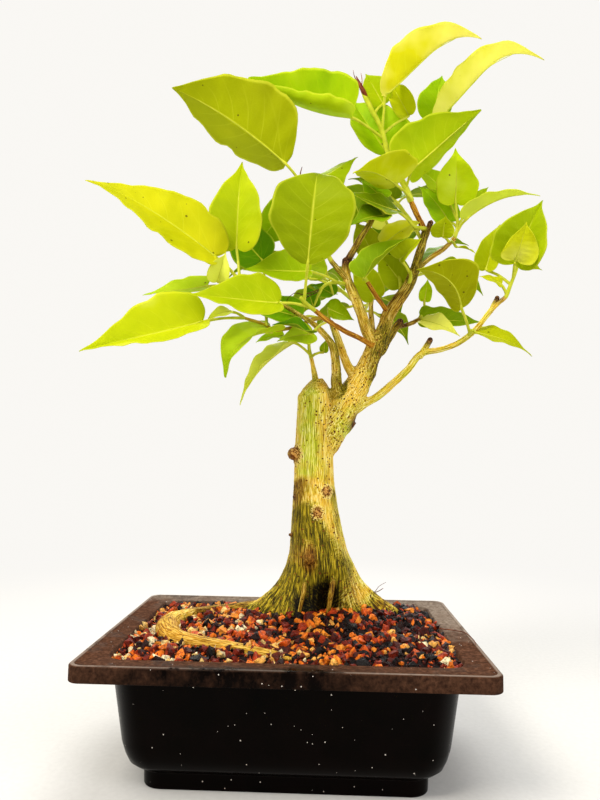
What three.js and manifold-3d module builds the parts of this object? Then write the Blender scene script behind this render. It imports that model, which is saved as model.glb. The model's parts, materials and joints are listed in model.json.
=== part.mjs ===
// Sacred fig bonsai (Ficus religiosa) in a shallow rectangular training pot of brown plastic.
//
// Millimetres, +Z up. X runs along the pot's long side and Y from its front to its back. The
// origin is the middle of the pot's foot, on the surface that it stands on.

import * as THREE from 'three';
import { mergeVertices } from 'three/addons/utils/BufferGeometryUtils.js';
import Module from 'manifold-3d';

const wasm = await Module();
wasm.setup();

// ---------------------------------------------------------------- driving dimensions

const clearance = 0.3; // between pieces that touch
const plantingGap = 0.4; // round the roots where they stand in the soil

const potLength = 305;
const potWidth = 229;
const potHeight = 102;
const potCornerSteps = 4; // points in each rounded corner
const floorLevel = 3.5; // top of the pot's floor
const drainHoleRadius = 5;
const drainHoles = [[-60, -30], [60, -30], [-60, 30], [60, 30]];

const soilAtWall = 96.5;
const soilShoulder = 5; // rise in the first few centimetres from the wall
const soilMound = 16; // rise round the foot of the trunk
const pebbleCount = 30;

const trunkX = 24;
const trunkY = 38;
const rootDepth = 84; // level where the buried root stock ends

const bladeThickness = 0.8;
const petioleRadius = 1.15;

// ---------------------------------------------------------------- small helpers

// A repeatable draw of numbers between 0 and 1.
function randomDraw(seed) {
  let state = seed;
  return () => {
    state = (state + 0x6d2b79f5) | 0;
    let t = Math.imul(state ^ (state >>> 15), 1 | state);
    t = (t + Math.imul(t ^ (t >>> 7), 61 | t)) ^ t;
    return ((t ^ (t >>> 14)) >>> 0) / 4294967296;
  };
}

const point = (xyz) => new THREE.Vector3(xyz[0], xyz[1], xyz[2]);

function closedGeometry(positions, triangles) {
  const geometry = new THREE.BufferGeometry();
  geometry.setAttribute('position', new THREE.Float32BufferAttribute(positions, 3));
  geometry.setIndex(triangles);
  return geometry;
}

function solidOf(geometry) {
  const bare = geometry.clone();
  bare.deleteAttribute('normal');
  bare.deleteAttribute('uv');
  const merged = mergeVertices(bare, 1e-4);
  return new wasm.Manifold(new wasm.Mesh({
    numProp: 3,
    vertProperties: new Float32Array(merged.attributes.position.array),
    triVerts: new Uint32Array(merged.index.array),
  }));
}

function geometryOf(solid) {
  const mesh = solid.getMesh();
  return closedGeometry(Array.from(mesh.vertProperties), Array.from(mesh.triVerts));
}

const joined = (solids) => solids.reduce((whole, next) => whole.add(next));

// What a cut leaves loose is dropped, so that a piece stays one body.
function largestBody(solid) {
  const bodies = solid.decompose();
  bodies.sort((a, b) => b.volume() - a.volume());
  return bodies[0];
}

// A value read off a list of [key, value, ...] rows by straight interpolation.
function readRow(rows, key, column) {
  if (key <= rows[0][0]) return rows[0][column];
  for (let i = 1; i < rows.length; i += 1) {
    if (key <= rows[i][0]) {
      const share = (key - rows[i - 1][0]) / (rows[i][0] - rows[i - 1][0]);
      return THREE.MathUtils.lerp(rows[i - 1][column], rows[i][column], share);
    }
  }
  return rows[rows.length - 1][column];
}

// A closed skin over rings that all have the same number of points, with flat ends.
function loft(rings) {
  const count = rings[0].length;
  const positions = rings.flat(2);
  const triangles = [];
  for (let ring = 0; ring < rings.length - 1; ring += 1) {
    for (let i = 0; i < count; i += 1) {
      const a = ring * count + i;
      const b = ring * count + ((i + 1) % count);
      triangles.push(a, b, b + count, a, b + count, a + count);
    }
  }
  for (const [ring, outward] of [[0, false], [rings.length - 1, true]]) {
    const centre = rings[ring].reduce((sum, p) => sum.map((v, k) => v + p[k] / count), [0, 0, 0]);
    const middle = positions.length / 3;
    positions.push(...centre);
    for (let i = 0; i < count; i += 1) {
      const a = ring * count + i;
      const b = ring * count + ((i + 1) % count);
      triangles.push(...(outward ? [a, b, middle] : [b, a, middle]));
    }
  }
  return closedGeometry(positions, triangles);
}

// ---------------------------------------------------------------- pot

// One level of the pot: a rectangle set in from the rim's outer edge, with rounded corners.
function potRing(inset, level, corner) {
  const halfX = potLength / 2 - inset - corner;
  const halfY = potWidth / 2 - inset - corner;
  const ring = [];
  for (const [signX, signY, start] of [[1, 1, 0], [-1, 1, 90], [-1, -1, 180], [1, -1, 270]]) {
    for (let i = 0; i < potCornerSteps; i += 1) {
      const angle = THREE.MathUtils.degToRad(start + (90 * i) / (potCornerSteps - 1));
      ring.push([
        signX * halfX + corner * Math.cos(angle),
        signY * halfY + corner * Math.sin(angle),
        level,
      ]);
    }
  }
  return ring;
}

// Rows of inset, level and corner radius, from the foot up the outside to the rim.
const potOutside = [
  [44, 0, 15],
  [43.5, 12, 15],
  [41, 14.5, 17],
  [33, 20, 22],
  [28, 35, 24],
  [22, 89, 20],
  [17.5, 97.5, 16],
  [3, 98, 7],
  [3, 90, 7],
  [0, 90, 10],
  [0, 101, 10],
  [0.8, potHeight, 9.2],
  [3, potHeight, 8],
  [4, 101, 8],
];

// The same down the inside, from the flat shelf of the rim to the floor.
const potInside = [
  [19.5, 101, 16],
  [25, 89, 18],
  [31, 35, 22],
  [36, 23, 20],
  [45, 17, 14],
  [47.2, floorLevel, 12],
];

function makePot() {
  const shell = solidOf(loft([...potOutside, ...potInside].map((row) => potRing(...row))));
  const holes = drainHoles.map(([x, y]) => {
    const hole = new THREE.CylinderGeometry(drainHoleRadius, drainHoleRadius, 4 * floorLevel, 8);
    hole.rotateX(Math.PI / 2);
    hole.translate(x, y, floorLevel / 2);
    return solidOf(hole);
  });
  return shell.subtract(joined(holes));
}

// ---------------------------------------------------------------- limbs, roots and stems

// A tapering limb: a unit cylinder bent along a smooth curve. Each node is x, y, z, radius.
function limb(nodes, sides, swell = 0, stepsPerNode = 1) {
  const curve = new THREE.CatmullRomCurve3(nodes.map(point), false, 'centripetal');
  const steps = (nodes.length - 1) * stepsPerNode;
  const geometry = new THREE.CylinderGeometry(1, 1, 1, sides, steps);
  const frames = [];
  const side = new THREE.Vector3(0.31, 0.87, 0.38);
  for (let i = 0; i <= steps; i += 1) {
    const t = i / steps;
    const tangent = curve.getTangent(t);
    side.addScaledVector(tangent, -side.dot(tangent)).normalize();
    const low = Math.min(Math.floor(t * (nodes.length - 1)), nodes.length - 2);
    const radius = THREE.MathUtils.lerp(nodes[low][3], nodes[low + 1][3], t * (nodes.length - 1) - low);
    const centre = curve.getPoint(t);
    if (i === 0) centre.addScaledVector(tangent, -swell);
    if (i === steps) centre.addScaledVector(tangent, swell);
    frames.push({ centre, radius: radius + swell, side: side.clone(), across: tangent.clone().cross(side) });
  }
  const position = geometry.attributes.position;
  for (let i = 0; i < position.count; i += 1) {
    const { centre, radius, side: u, across: v } = frames[Math.round((position.getY(i) + 0.5) * steps)];
    const moved = centre.clone();
    moved.addScaledVector(v, position.getX(i) * radius);
    moved.addScaledVector(u, position.getZ(i) * radius);
    position.setXYZ(i, moved.x, moved.y, moved.z);
  }
  return solidOf(geometry);
}

// The trunk by height: level, centre x, core radius, reach of the root flare, depth of the hollow.
const trunkRows = [
  [rootDepth, 24, 34, 20, 20],
  [96, 25, 34, 38, 23],
  [104, 26, 33.5, 42, 24],
  [110, 26, 33, 37, 23.5],
  [117, 25, 31.5, 28, 21],
  [126, 25, 30, 18, 15],
  [136, 25, 28.5, 10.5, 8],
  [147, 25, 27, 6, 2.5],
  [160, 23.5, 25.5, 2.5, 0.5],
  [178, 21.5, 23.4, 1, 0],
  [200, 19.3, 21, 0.4, 0],
  [225, 18.2, 18.8, 0, 0],
  [255, 18, 18, 0, 0],
  [290, 18, 17.2, 0, 0],
  [309, 18, 16.4, 0, 0],
  [317, 19, 11.5, 0, 0],
  [324, 20, 4.5, 0, 0],
];

// Root lobes of the flare: direction in degrees from +X, spread in degrees and share of the reach.
const rootLobes = [
  [8, 19, 1.0],
  [62, 20, 0.7],
  [122, 20, 0.62],
  [178, 22, 0.92],
  [-142, 17, 0.25],
  [-35, 14, 0.36],
];
const hollowDirection = -75;
const hollowSpread = 26;
const trunkSides = 20;

function bump(direction, centre, spread) {
  let away = Math.abs(direction - centre) % 360;
  if (away > 180) away = 360 - away;
  return Math.exp(-((away / spread) ** 2));
}

function trunkRadius(level, direction) {
  const core = readRow(trunkRows, level, 2);
  const reach = readRow(trunkRows, level, 3);
  const hollow = readRow(trunkRows, level, 4);
  const lobes = rootLobes.reduce((sum, [at, spread, share]) => sum + share * bump(direction, at, spread), 0);
  const rough = 0.35 * Math.sin(THREE.MathUtils.degToRad(direction * 5) + level * 0.07);
  return core + rough + reach * lobes - hollow * bump(direction, hollowDirection, hollowSpread);
}

function trunkColumn(swell) {
  const rings = trunkRows.map(([level, centreX], row) => {
    const ring = [];
    for (let i = 0; i < trunkSides; i += 1) {
      const direction = (360 * i) / trunkSides;
      const angle = THREE.MathUtils.degToRad(direction);
      const radius = trunkRadius(level, direction) + swell;
      const x = centreX + radius * Math.cos(angle);
      const slant = level > 300 ? 0.12 * (x - centreX) : 0;
      const end = row === 0 ? -swell : row === trunkRows.length - 1 ? swell : 0;
      ring.push([x, trunkY + radius * Math.sin(angle), level + slant + end]);
    }
    return ring;
  });
  return solidOf(loft(rings));
}

// Woody limbs, each node x, y, z and radius.
const woodyLimbs = {
  mainLimb: [
    [20, 38, 246, 12], [34, 38, 276, 16], [48, 37, 301, 15], [59, 36, 319, 12],
    [68, 35, 337, 9.6], [74, 34, 352, 9], [78, 34, 364, 8],
  ],
  leftLimb: [
    [74, 34, 356, 7], [68, 32, 368, 6], [62, 28, 384, 5.3], [56, 26, 399, 5],
    [50, 24, 412, 4.7], [46, 22, 424, 4.4], [46, 20, 436, 3.8],
  ],
  leftLimbTop: [
    [46, 21, 430, 3.6], [52, 16, 442, 3.2], [61, 12, 457, 2.8],
    [67, 10, 466, 2.6], [73, 9, 479, 2.4],
  ],
  leftLimbTwig: [[47, 22, 418, 3.2], [39, 17, 425, 2.8], [32, 12, 432, 2.4]],
  rightLimb: [
    [79, 34, 360, 7.5], [84, 34, 374, 7], [88, 34, 386, 6.6], [96, 34, 399, 6.2], [107, 35, 415, 5.6],
    [113, 36, 431, 5], [117, 36, 445, 4.3], [121, 36, 458, 3.9], [124, 36, 470, 3.8],
  ],
  rightLimbStub: [[124, 36, 466, 3.3], [129, 36, 479, 2.8]],
  orangeTwig: [[123, 36, 470, 3], [115, 33, 485, 2.7], [109, 31, 498, 2.5]],
  innerTwig: [[89, 34, 386, 2.6], [76, 22, 400, 2.2], [66, 15, 413, 2]],
  rightTwig: [[112, 36, 429, 2.8], [127, 40, 443, 2.5], [142, 42, 454, 2.3], [153, 43, 465, 2.2]],
  middleTwig: [[74, 36, 364, 3], [72, 40, 384, 2.6], [72, 46, 399, 2.3], [74, 52, 412, 2]],
  shortLimb: [[80, 35, 350, 5], [90, 44, 368, 4.5], [97, 50, 378, 4], [102, 54, 385, 3.4]],
  shortLimbTwig: [[98, 51, 378, 2.4], [112, 58, 383, 2.2], [122, 62, 389, 2]],
  lowLimb: [
    [46, 37, 300, 8], [39, 30, 316, 5.5], [38, 25, 328, 4.6], [37, 20, 340, 4.2], [33, 14, 354, 3.6],
    [25, 8, 363, 3], [15, 2, 371, 2.5], [-3, -8, 380, 2.1], [-13, -14, 385, 2],
  ],
  lowLimbTwin: [
    [60, 36, 320, 6], [50, 34, 335, 4.6], [44, 30, 348, 4],
    [38, 26, 364, 3.6], [33, 22, 376, 3],
  ],
  thinBranch: [
    [76, 32, 353, 2.6], [66, 20, 357, 2.4], [56, 10, 360, 2.3],
    [40, -8, 364, 2.2], [26, -22, 370, 2], [18, -29, 375, 1.9],
  ],
  longBranch: [
    [50, 38, 291, 6], [66, 38, 301, 4], [77, 38, 307, 3.7], [91, 36, 319, 3.5], [106, 33, 333, 3.3],
    [118, 30, 348, 3.3], [133, 26, 351, 2.7], [147, 22, 355, 2.6], [160, 17, 363, 2.5],
    [171, 12, 375, 2.4], [179, 8, 386, 2.3], [190, 3, 396, 2],
  ],
  longBranchStub: [[117, 30, 345, 3], [127, 30, 362, 2.6]],
  farStub: [[178, 8, 384, 2.2], [184, 7, 397, 2]],
  stubShoot: [[19, 38, 318, 3.4], [16, 36, 336, 2.2], [14, 35, 344, 2]],
  thorn: [[40, 38, 268, 4], [51, 36, 276, 2.4], [57, 35, 282, 0.5]],
  airRootLeft: [
    [15, 19, 150, 3.2], [12, 13.5, 138, 2.4], [10.4, 10, 128.7, 2], [7.1, 8, 112.7, 1.6], [5, 8, 98, 1.4],
  ],
  airRootRight: [
    [37, 24, 150, 3.2], [36.7, 18, 138, 2.8], [35, 14, 127, 2.3], [33, 12, 114.9, 1.8], [31, 12, 98, 1.5],
  ],
  surfaceRoot: [
    [-22, 42, 106, 10], [-42, 48, 106, 6], [-60, 49, 105, 4.2], [-80, 41, 104, 4.4], [-95, 28, 103, 6],
    [-104, 8, 102, 8.5], [-104, -16, 101.5, 10], [-95, -38, 101, 9], [-75, -52, 101, 7],
    [-46, -61, 101, 5.6], [-20, -69, 100, 4.4], [3, -77, 99, 3],
  ],
};
const thickLimbs = ['mainLimb', 'leftLimb', 'rightLimb', 'lowLimb', 'surfaceRoot'];

// Knots and healed cuts on the trunk: x, y, z, radius.
const knots = [[-0.5, 31, 252, 6.6], [30, 24, 218, 4.5], [22, 20, 199, 4.5], [16, 16, 158, 7]];

function makeTree(swell) {
  const limbs = Object.entries(woodyLimbs).map(([name, nodes]) => (
    limb(nodes, thickLimbs.includes(name) ? 8 : 5, swell)
  ));
  const lumps = knots.map(([x, y, z, radius]) => {
    const lump = new THREE.SphereGeometry(radius + swell, 6, 4);
    lump.translate(x, y, z);
    return solidOf(lump);
  });
  return joined([trunkColumn(swell), ...limbs, ...lumps]);
}

// ---------------------------------------------------------------- soil

function soilLevel(x, y) {
  const fromWall = Math.min(potLength / 2 - 22 - Math.abs(x), potWidth / 2 - 22 - Math.abs(y));
  const shoulder = soilShoulder * THREE.MathUtils.smoothstep(fromWall, 0, 26);
  const fromTrunk = Math.hypot((x - trunkX) / 72, (y - trunkY) / 58);
  return soilAtWall + shoulder + soilMound * Math.exp(-(fromTrunk ** 2));
}

// The gritty surface: a fine irregular ripple on the mound.
function soilGrit(x, y) {
  const ripple = Math.sin(x * 0.71 + 1.3 * Math.sin(y * 0.37));
  return 1.1 * ripple * Math.sin(y * 0.63 + 1.1 * Math.sin(x * 0.29));
}

function makeSoil(treeHole) {
  const fill = [[47.2, floorLevel + clearance, 12], ...potInside.slice(0, -1).reverse()];
  const cavity = solidOf(loft(fill.map(([inset, level, corner]) => (
    potRing(inset + clearance, level, corner)
  )).concat([potRing(19.5 + clearance, 130, 16)])));

  const block = new THREE.BoxGeometry(potLength, potWidth, 130, 17, 12, 1);
  const position = block.attributes.position;
  for (let i = 0; i < position.count; i += 1) {
    const x = position.getX(i);
    const y = position.getY(i);
    position.setZ(i, position.getZ(i) > 0 ? soilLevel(x, y) + soilGrit(x, y) : -10);
  }
  const bed = cavity.intersect(solidOf(block));

  const draw = randomDraw(7);
  const pebbles = [];
  while (pebbles.length < pebbleCount) {
    const x = (draw() - 0.5) * (potLength - 62);
    const y = (draw() - 0.5) * (potWidth - 62);
    const size = 2.4 + 2.2 * draw();
    const pebble = new THREE.OctahedronGeometry(size, 0);
    pebble.scale(1.25, 1, 0.85);
    pebble.rotateX(draw() * 3);
    pebble.rotateZ(draw() * 6);
    pebble.translate(x, y, soilLevel(x, y) + 0.6);
    pebbles.push(solidOf(pebble));
  }
  return largestBody(joined([bed, ...pebbles]).subtract(treeHole));
}

// ---------------------------------------------------------------- leaves

// The outline of a sacred fig leaf, base to drip tip. Each row follows a pair of veins: where it
// leaves the midrib, where it meets the margin, and the margin's share of the half width.
const heartRows = [
  [0.0, -0.05, 0.36],
  [0.08, 0.03, 0.86],
  [0.22, 0.22, 1.0],
  [0.38, 0.42, 0.9],
  [0.54, 0.61, 0.62],
  [0.72, 0.79, 0.26],
];
const slenderRows = [
  [0.0, -0.02, 0.24],
  [0.08, 0.05, 0.55],
  [0.22, 0.22, 0.86],
  [0.38, 0.42, 1.0],
  [0.54, 0.61, 0.84],
  [0.72, 0.79, 0.5],
];
const broadRows = [
  [0.0, 0.0, 0.14],
  [0.08, 0.06, 0.44],
  [0.22, 0.22, 0.8],
  [0.38, 0.42, 1.0],
  [0.56, 0.64, 0.92],
  [0.78, 0.84, 0.46],
];
const smallRows = [0, 1, 3, 5].map((row) => heartRows[row]);
const outlines = { heart: heartRows, slender: slenderRows, broad: broadRows };

// A blade from base to tip that faces along leaf.face. fold lifts the halves, in degrees; arch and
// curl bow the midrib, and bend swings it sideways, in shares of the length; wave is in mm. A
// value of full under 1 fills the outline out towards its ends.
function blade(leaf, phase) {
  const { fold = 14, arch = 0.06, curl = 0.05, bend = 0, wave = 1.6, full = 1 } = leaf;
  const base = point(leaf.base);
  const along = point(leaf.tip).sub(base);
  const length = along.length();
  along.normalize();
  const face = point(leaf.face);
  face.addScaledVector(along, -face.dot(along)).normalize();
  const across = face.clone().cross(along);
  const lift = THREE.MathUtils.degToRad(fold);

  const rib = (u) => base.clone()
    .addScaledVector(along, length * u)
    .addScaledVector(face, length * (arch * 4 * u * (1 - u) + curl * (u - u ** 5)))
    .addScaledVector(across, length * bend * 4 * u * (1 - u));
  const upAt = (u) => {
    const tangent = rib(u + 0.01).sub(rib(u - 0.01)).normalize();
    return face.clone().addScaledVector(tangent, -face.dot(tangent)).normalize();
  };

  const centres = [];
  const normals = [];
  const outline = length < 34 ? smallRows : outlines[leaf.outline ?? 'heart'];
  for (const [ribAt, marginAt, share] of outline) {
    const half = (share ** full * leaf.width) / 2;
    for (const side of [-1, 0, 1]) {
      const up = upAt(side === 0 ? ribAt : marginAt);
      const spot = rib(side === 0 ? ribAt : marginAt);
      if (side !== 0) {
        const ripple = wave * (1 - marginAt) * Math.sin(9.5 * marginAt + phase + 1.7 * side);
        spot.addScaledVector(across, side * half * Math.cos(lift));
        spot.addScaledVector(up, half * Math.sin(lift) + ripple);
        up.multiplyScalar(Math.cos(lift)).addScaledVector(across, -side * Math.sin(lift));
      }
      centres.push(spot);
      normals.push(up);
    }
  }
  centres.push(rib(1));
  normals.push(upAt(1));

  // Both faces are split into triangles alike, and the rim of the blade joins them.
  const count = centres.length;
  const rows = outline.length;
  const top = [];
  for (let row = 0; row < rows - 1; row += 1) {
    const a = 3 * row;
    top.push([a, a + 4, a + 1], [a, a + 3, a + 4], [a + 1, a + 5, a + 2], [a + 1, a + 4, a + 5]);
  }
  const last = 3 * (rows - 1);
  top.push([last, count - 1, last + 1], [last + 1, count - 1, last + 2]);
  const rim = [1, 2];
  for (let row = 1; row < rows; row += 1) rim.push(3 * row + 2);
  rim.push(count - 1);
  for (let row = rows - 1; row >= 0; row -= 1) rim.push(3 * row);

  const positions = [];
  for (const offset of [bladeThickness / 2, -bladeThickness / 2]) {
    centres.forEach((spot, i) => {
      positions.push(...spot.clone().addScaledVector(normals[i], offset).toArray());
    });
  }
  const triangles = [];
  for (const [a, b, c] of top) {
    triangles.push(a, b, c, a + count, c + count, b + count);
  }
  rim.forEach((a, i) => {
    const b = rim[(i + 1) % rim.length];
    triangles.push(a, b, b + count, a, b + count, a + count);
  });
  const solid = solidOf(closedGeometry(positions, triangles));
  return { solid, foot: rib(0.03) };
}

// A leaf: its blade and the slender stalk that carries it, sunk into the stem at one end and into
// the midrib at the other.
function leafOnStalk(leaf, phase) {
  const { solid, foot } = blade(leaf, phase);
  const root = point(leaf.root);
  const base = point(leaf.base);
  const middle = root.clone().lerp(base, 0.5).add(point(leaf.sag ?? [0, 0, 1.5]));
  const nodes = [root, middle, foot].map((p, i) => [p.x, p.y, p.z, petioleRadius * (i < 2 ? 1 : 0.7)]);
  return solid.add(limb(nodes, 3));
}

function makeSpray({ stem, leaves }) {
  return joined([limb(stem, 5), ...leaves.map((leaf, i) => leafOnStalk(leaf, 2.1 * i))]);
}

// Leaves in a spiral up a stem, for the side of the crown that faces away.
function spiralLeaves(stem, count, seed, first, length, width) {
  const draw = randomDraw(seed);
  const curve = new THREE.CatmullRomCurve3(stem.map(point), false, 'centripetal');
  const leaves = [];
  for (let i = 0; i < count; i += 1) {
    const t = 0.3 + (0.7 * i) / (count - 1);
    const root = curve.getPoint(t);
    const tangent = curve.getTangent(t);
    const turn = THREE.MathUtils.degToRad(first + 137.5 * i);
    const outward = new THREE.Vector3(Math.cos(turn), Math.sin(turn), 0.25);
    outward.addScaledVector(tangent, 0.7 - outward.dot(tangent)).normalize();
    const base = root.clone().addScaledVector(outward, 20 + 8 * draw());
    const droop = outward.clone().add(new THREE.Vector3(0, 0, -0.55)).normalize();
    const tip = base.clone().addScaledVector(droop, length * (0.85 + 0.3 * draw()));
    leaves.push({
      root: root.toArray(),
      base: base.toArray(),
      tip: tip.toArray(),
      width: width * (0.85 + 0.3 * draw()),
      face: [0.5 * outward.x, 0.5 * outward.y, 1],
      arch: 0.1,
    });
  }
  return leaves;
}

// Leafy shoots. Each stem node is x, y, z and radius; each leaf gives the root of its stalk on the
// stem, the base and tip of its blade, its width and the direction that its upper side faces.
const sprays = {
  spray_left: {
    stem: [
      [-13, -14, 385, 1.9], [-25, -20, 389, 1.8], [-37, -24, 395, 1.7],
      [-48, -27, 402, 1.6], [-56, -29, 410, 1.3],
    ],
    leaves: [
      {
        root: [-51, -28, 405], base: [-70, -36, 421], tip: [-178, -54, 480], width: 66,
        face: [4, -8, 5], fold: 19, arch: 0.04,
      },
      {
        root: [-48, -27, 402], base: [-53, -22, 435], tip: [-51, -12, 519], width: 54,
        face: [0, -10, 1], fold: 31,
      },
      {
        root: [-37, -24, 395], base: [-80, -10, 401], tip: [-141, 0, 395], width: 40,
        face: [-2, -6, 7], fold: 13, arch: -0.02,
      },
      {
        root: [-44, -26, 400], base: [-66, -36, 398], tip: [-59, -38, 423], width: 24,
        face: [1, -10, -1], fold: 38,
      },
    ],
  },
  spray_centre: {
    stem: [[18, -29, 375, 1.8], [12, -35, 378, 1.8], [6, -41, 383, 1.5]],
    leaves: [
      {
        root: [13, -33, 377], base: [-13, -46, 377], tip: [-85, -64, 379], width: 54,
        face: [2, -8, 6], fold: 19, arch: -0.02,
      },
      {
        root: [9, -39, 382], base: [12, -58, 407], tip: [19, -50, 488], width: 70,
        face: [0, -10, -1], curl: 0.25, outline: 'broad',
      },
    ],
  },
  spray_low: {
    stem: [
      [33, 22, 376, 2], [24, 14, 378, 1.9], [15, 8, 375, 1.8], [4, 3, 369, 1.7], [-8, -4, 364, 1.6],
      [-19, -8, 362, 1.5], [-26, -11, 366, 1.4], [-44, -20, 370, 1.3],
    ],
    leaves: [
      {
        root: [31, 20, 377], base: [14, -8, 357], tip: [-19, -22, 361], width: 26,
        face: [0, -5, 8], fold: 24,
      },
      { root: [20, 12, 378], base: [4, 0, 375], tip: [-50, -4, 381], width: 40, face: [0, -8, 6] },
      {
        root: [-22, -8, 364], base: [-20, -14, 359], tip: [-58, -28, 316], width: 52,
        face: [-5, -6, 6], fold: 21, arch: 0.2, full: 0.7,
      },
      {
        root: [-44, -20, 370], base: [-77, -44, 361], tip: [-173, -62, 332], width: 62,
        face: [0, -9, 5], fold: 36, arch: 0.02, bend: 0.04,
      },
      {
        root: [-25, -12, 366], base: [-32, 8, 431], tip: [-67, 14, 470], width: 48,
        face: [-1, -10, 0], fold: 34,
      },
      {
        root: [31, 20, 377], base: [30, 26, 390], tip: [55, 36, 381], width: 30,
        face: [5, -7, 5], fold: 14, arch: -0.02,
      },
      {
        root: [-44, -20, 370], base: [-56, -27, 374], tip: [-75, -34, 362], width: 15,
        face: [1, -7, 7], curl: 0.2,
      },
    ],
  },
  spray_stub: {
    stem: [[14, 35, 344, 1.9], [12, 33, 353, 1.6], [12, 36, 363, 1.2]],
    leaves: [
      {
        root: [14, 34, 346], base: [-2, 16, 355], tip: [-48, -6, 294], width: 40,
        face: [-6, -4, 6], fold: 21, arch: 0.07,
      },
      { root: [12, 33, 357], base: [-12, 20, 362], tip: [-37, 12, 354], width: 20, face: [0, -6, 7] },
      { root: [14, 35, 345], base: [26, 44, 351], tip: [28, 48, 364], width: 9, face: [0, -9, 3] },
      { root: [12, 33, 357], base: [13, 13, 360], tip: [-19, 6, 352], width: 23, face: [1, -9, 4] },
    ],
  },
  spray_upper_left: {
    stem: [
      [32, 12, 432, 2.2], [23, 4, 447, 1.9], [15, -4, 467, 1.7],
      [9, -10, 483, 1.5], [6, -14, 493, 1.3],
    ],
    leaves: [
      {
        root: [6, -13, 492], base: [-10, -22, 510], tip: [-108, -48, 566], width: 90,
        face: [3, 6, 7], fold: 29, outline: 'broad',
      },
      {
        root: [13, -6, 474], base: [-10, 8, 483], tip: [-43, 16, 444], width: 44,
        face: [2, -9, -4], fold: 39,
      },
      {
        root: [7, -12, 488], base: [10, 4, 501], tip: [57, 24, 539], width: 40,
        face: [-1, -8, 6], fold: -20, arch: -0.02,
      },
    ],
  },
  spray_left_inner: {
    stem: [[45, 22, 413, 2], [39, 18, 413, 1.8], [29, 14, 411, 1.6], [22, 14, 405, 1.3]],
    leaves: [
      {
        root: [39, 18, 413], base: [12, -10, 415], tip: [-47, -14, 415], width: 48,
        face: [1, -8, 5], fold: 23, arch: -0.02,
      },
      { root: [29, 14, 411], base: [12, 16, 416], tip: [14, 34, 452], width: 32, face: [1, -9, 2] },
      {
        root: [23, 14, 405], base: [16, 22, 390], tip: [9, 28, 412], width: 20,
        face: [-1, -10, 2], fold: 31,
      },
      { root: [31, 15, 411], base: [34, 28, 404], tip: [12, 38, 416], width: 22, face: [0, -8, 5] },
    ],
  },
  spray_inner: {
    stem: [[73, 9, 479, 2.2], [74, 9, 485, 1.6], [75, 10, 490, 1.2]],
    leaves: [
      { root: [73, 9, 481], base: [80, -2, 470], tip: [48, -8, 458], width: 36, face: [0, -7, 7] },
      { root: [74, 9, 485], base: [60, 14, 471], tip: [48, 22, 505], width: 24, face: [0, -9, 3] },
      {
        root: [74, 10, 487], base: [83, 32, 501], tip: [60, 38, 523], width: 26,
        face: [1, -9, 4], fold: 9, bend: 0.07,
      },
    ],
  },
  spray_right_node: {
    stem: [[124, 36, 472, 2], [118, 28, 470, 1.7], [110, 20, 468, 1.4]],
    leaves: [
      {
        root: [111, 21, 468], base: [92, 4, 477], tip: [42, -10, 489], width: 44,
        face: [3, -6, 7], fold: 8, arch: -0.02,
      },
      { root: [118, 28, 470], base: [84, 26, 454], tip: [122, 36, 480], width: 30, face: [-2, -8, 5] },
    ],
  },
  spray_inner_right: {
    stem: [[67, 15.7, 411.7, 1.7], [63.5, 12.5, 416.5, 1.5], [61, 10, 421, 1.2]],
    leaves: [
      {
        root: [64, 13, 415], base: [62, 4, 413], tip: [102, 0, 450], width: 44,
        face: [-6, -6, 5], fold: 38, arch: 0.03,
      },
    ],
  },
  spray_limb: {
    stem: [[106, 34, 414, 2], [108, 27, 421, 1.6], [107, 22, 425, 1.3]],
    leaves: [
      {
        root: [107, 24, 424], base: [96, 10, 433], tip: [115, 4, 451], width: 28,
        face: [-5, -8, 2], fold: 39, bend: -0.06,
      },
    ],
  },
  spray_right_up: {
    stem: [[153, 43, 465, 2], [156, 43, 475, 1.8], [156, 42, 484, 1.4]],
    leaves: [
      { root: [156, 42, 482], base: [154, 42, 501], tip: [154, 40, 556], width: 42, face: [0, -10, 1] },
      {
        root: [156, 43, 472], base: [163, 34, 481], tip: [225, 8, 493], width: 26,
        face: [-2, 1, 10], fold: 39, arch: 0.11,
      },
      { root: [156, 43, 476], base: [150, 52, 485], tip: [120, 60, 526], width: 36, face: [1, -9, 3] },
      { root: [156, 42, 483], base: [146, 62, 521], tip: [118, 72, 551], width: 32, face: [1, -8, 5] },
      {
        root: [148, 42, 460], base: [140, 32, 463], tip: [142, 28, 482], width: 26,
        face: [-4, -9, -2], fold: 29,
      },
      { root: [149, 42, 462], base: [152, 30, 452], tip: [168, 22, 443], width: 9, face: [0, -3, 9] },
      {
        root: [156, 43, 478], base: [170, 48, 494], tip: [191, 58, 524], width: 16,
        face: [-1, -9, 4], fold: 21,
      },
    ],
  },
  spray_right_far: {
    stem: [
      [190, 3, 396, 1.9], [191, 2, 398, 1.8], [194, 0, 407, 1.6],
      [198, -2, 418, 1.4], [200, -3, 425, 1.2],
    ],
    leaves: [
      {
        root: [196, -1, 412], base: [195, -10, 423], tip: [217, -20, 477], width: 56,
        face: [-4, -9, 0], fold: 34,
      },
      { root: [200, -3, 424], base: [192, -22, 423], tip: [198, -34, 452], width: 36, face: [0, -10, 1] },
      {
        root: [194, 0, 407], base: [175, 10, 424], tip: [190, 16, 469], width: 28,
        face: [-3, -9, 2], fold: 35,
      },
      {
        root: [200, -3, 425], base: [202, 2, 430], tip: [221, -4, 419], width: 16,
        face: [1, -8, 6], fold: 4, arch: -0.02,
      },
      { root: [191, 2, 398], base: [185, 0, 407], tip: [165, -4, 413], width: 12, face: [0, -8, 5] },
    ],
  },
  spray_right_mid: {
    stem: [[160, 17, 363, 2], [160, 13, 365, 1.7], [160, 9, 367, 1.3]],
    leaves: [
      {
        root: [160, 13, 365], base: [148, -8, 383], tip: [106, -24, 413], width: 56,
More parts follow.
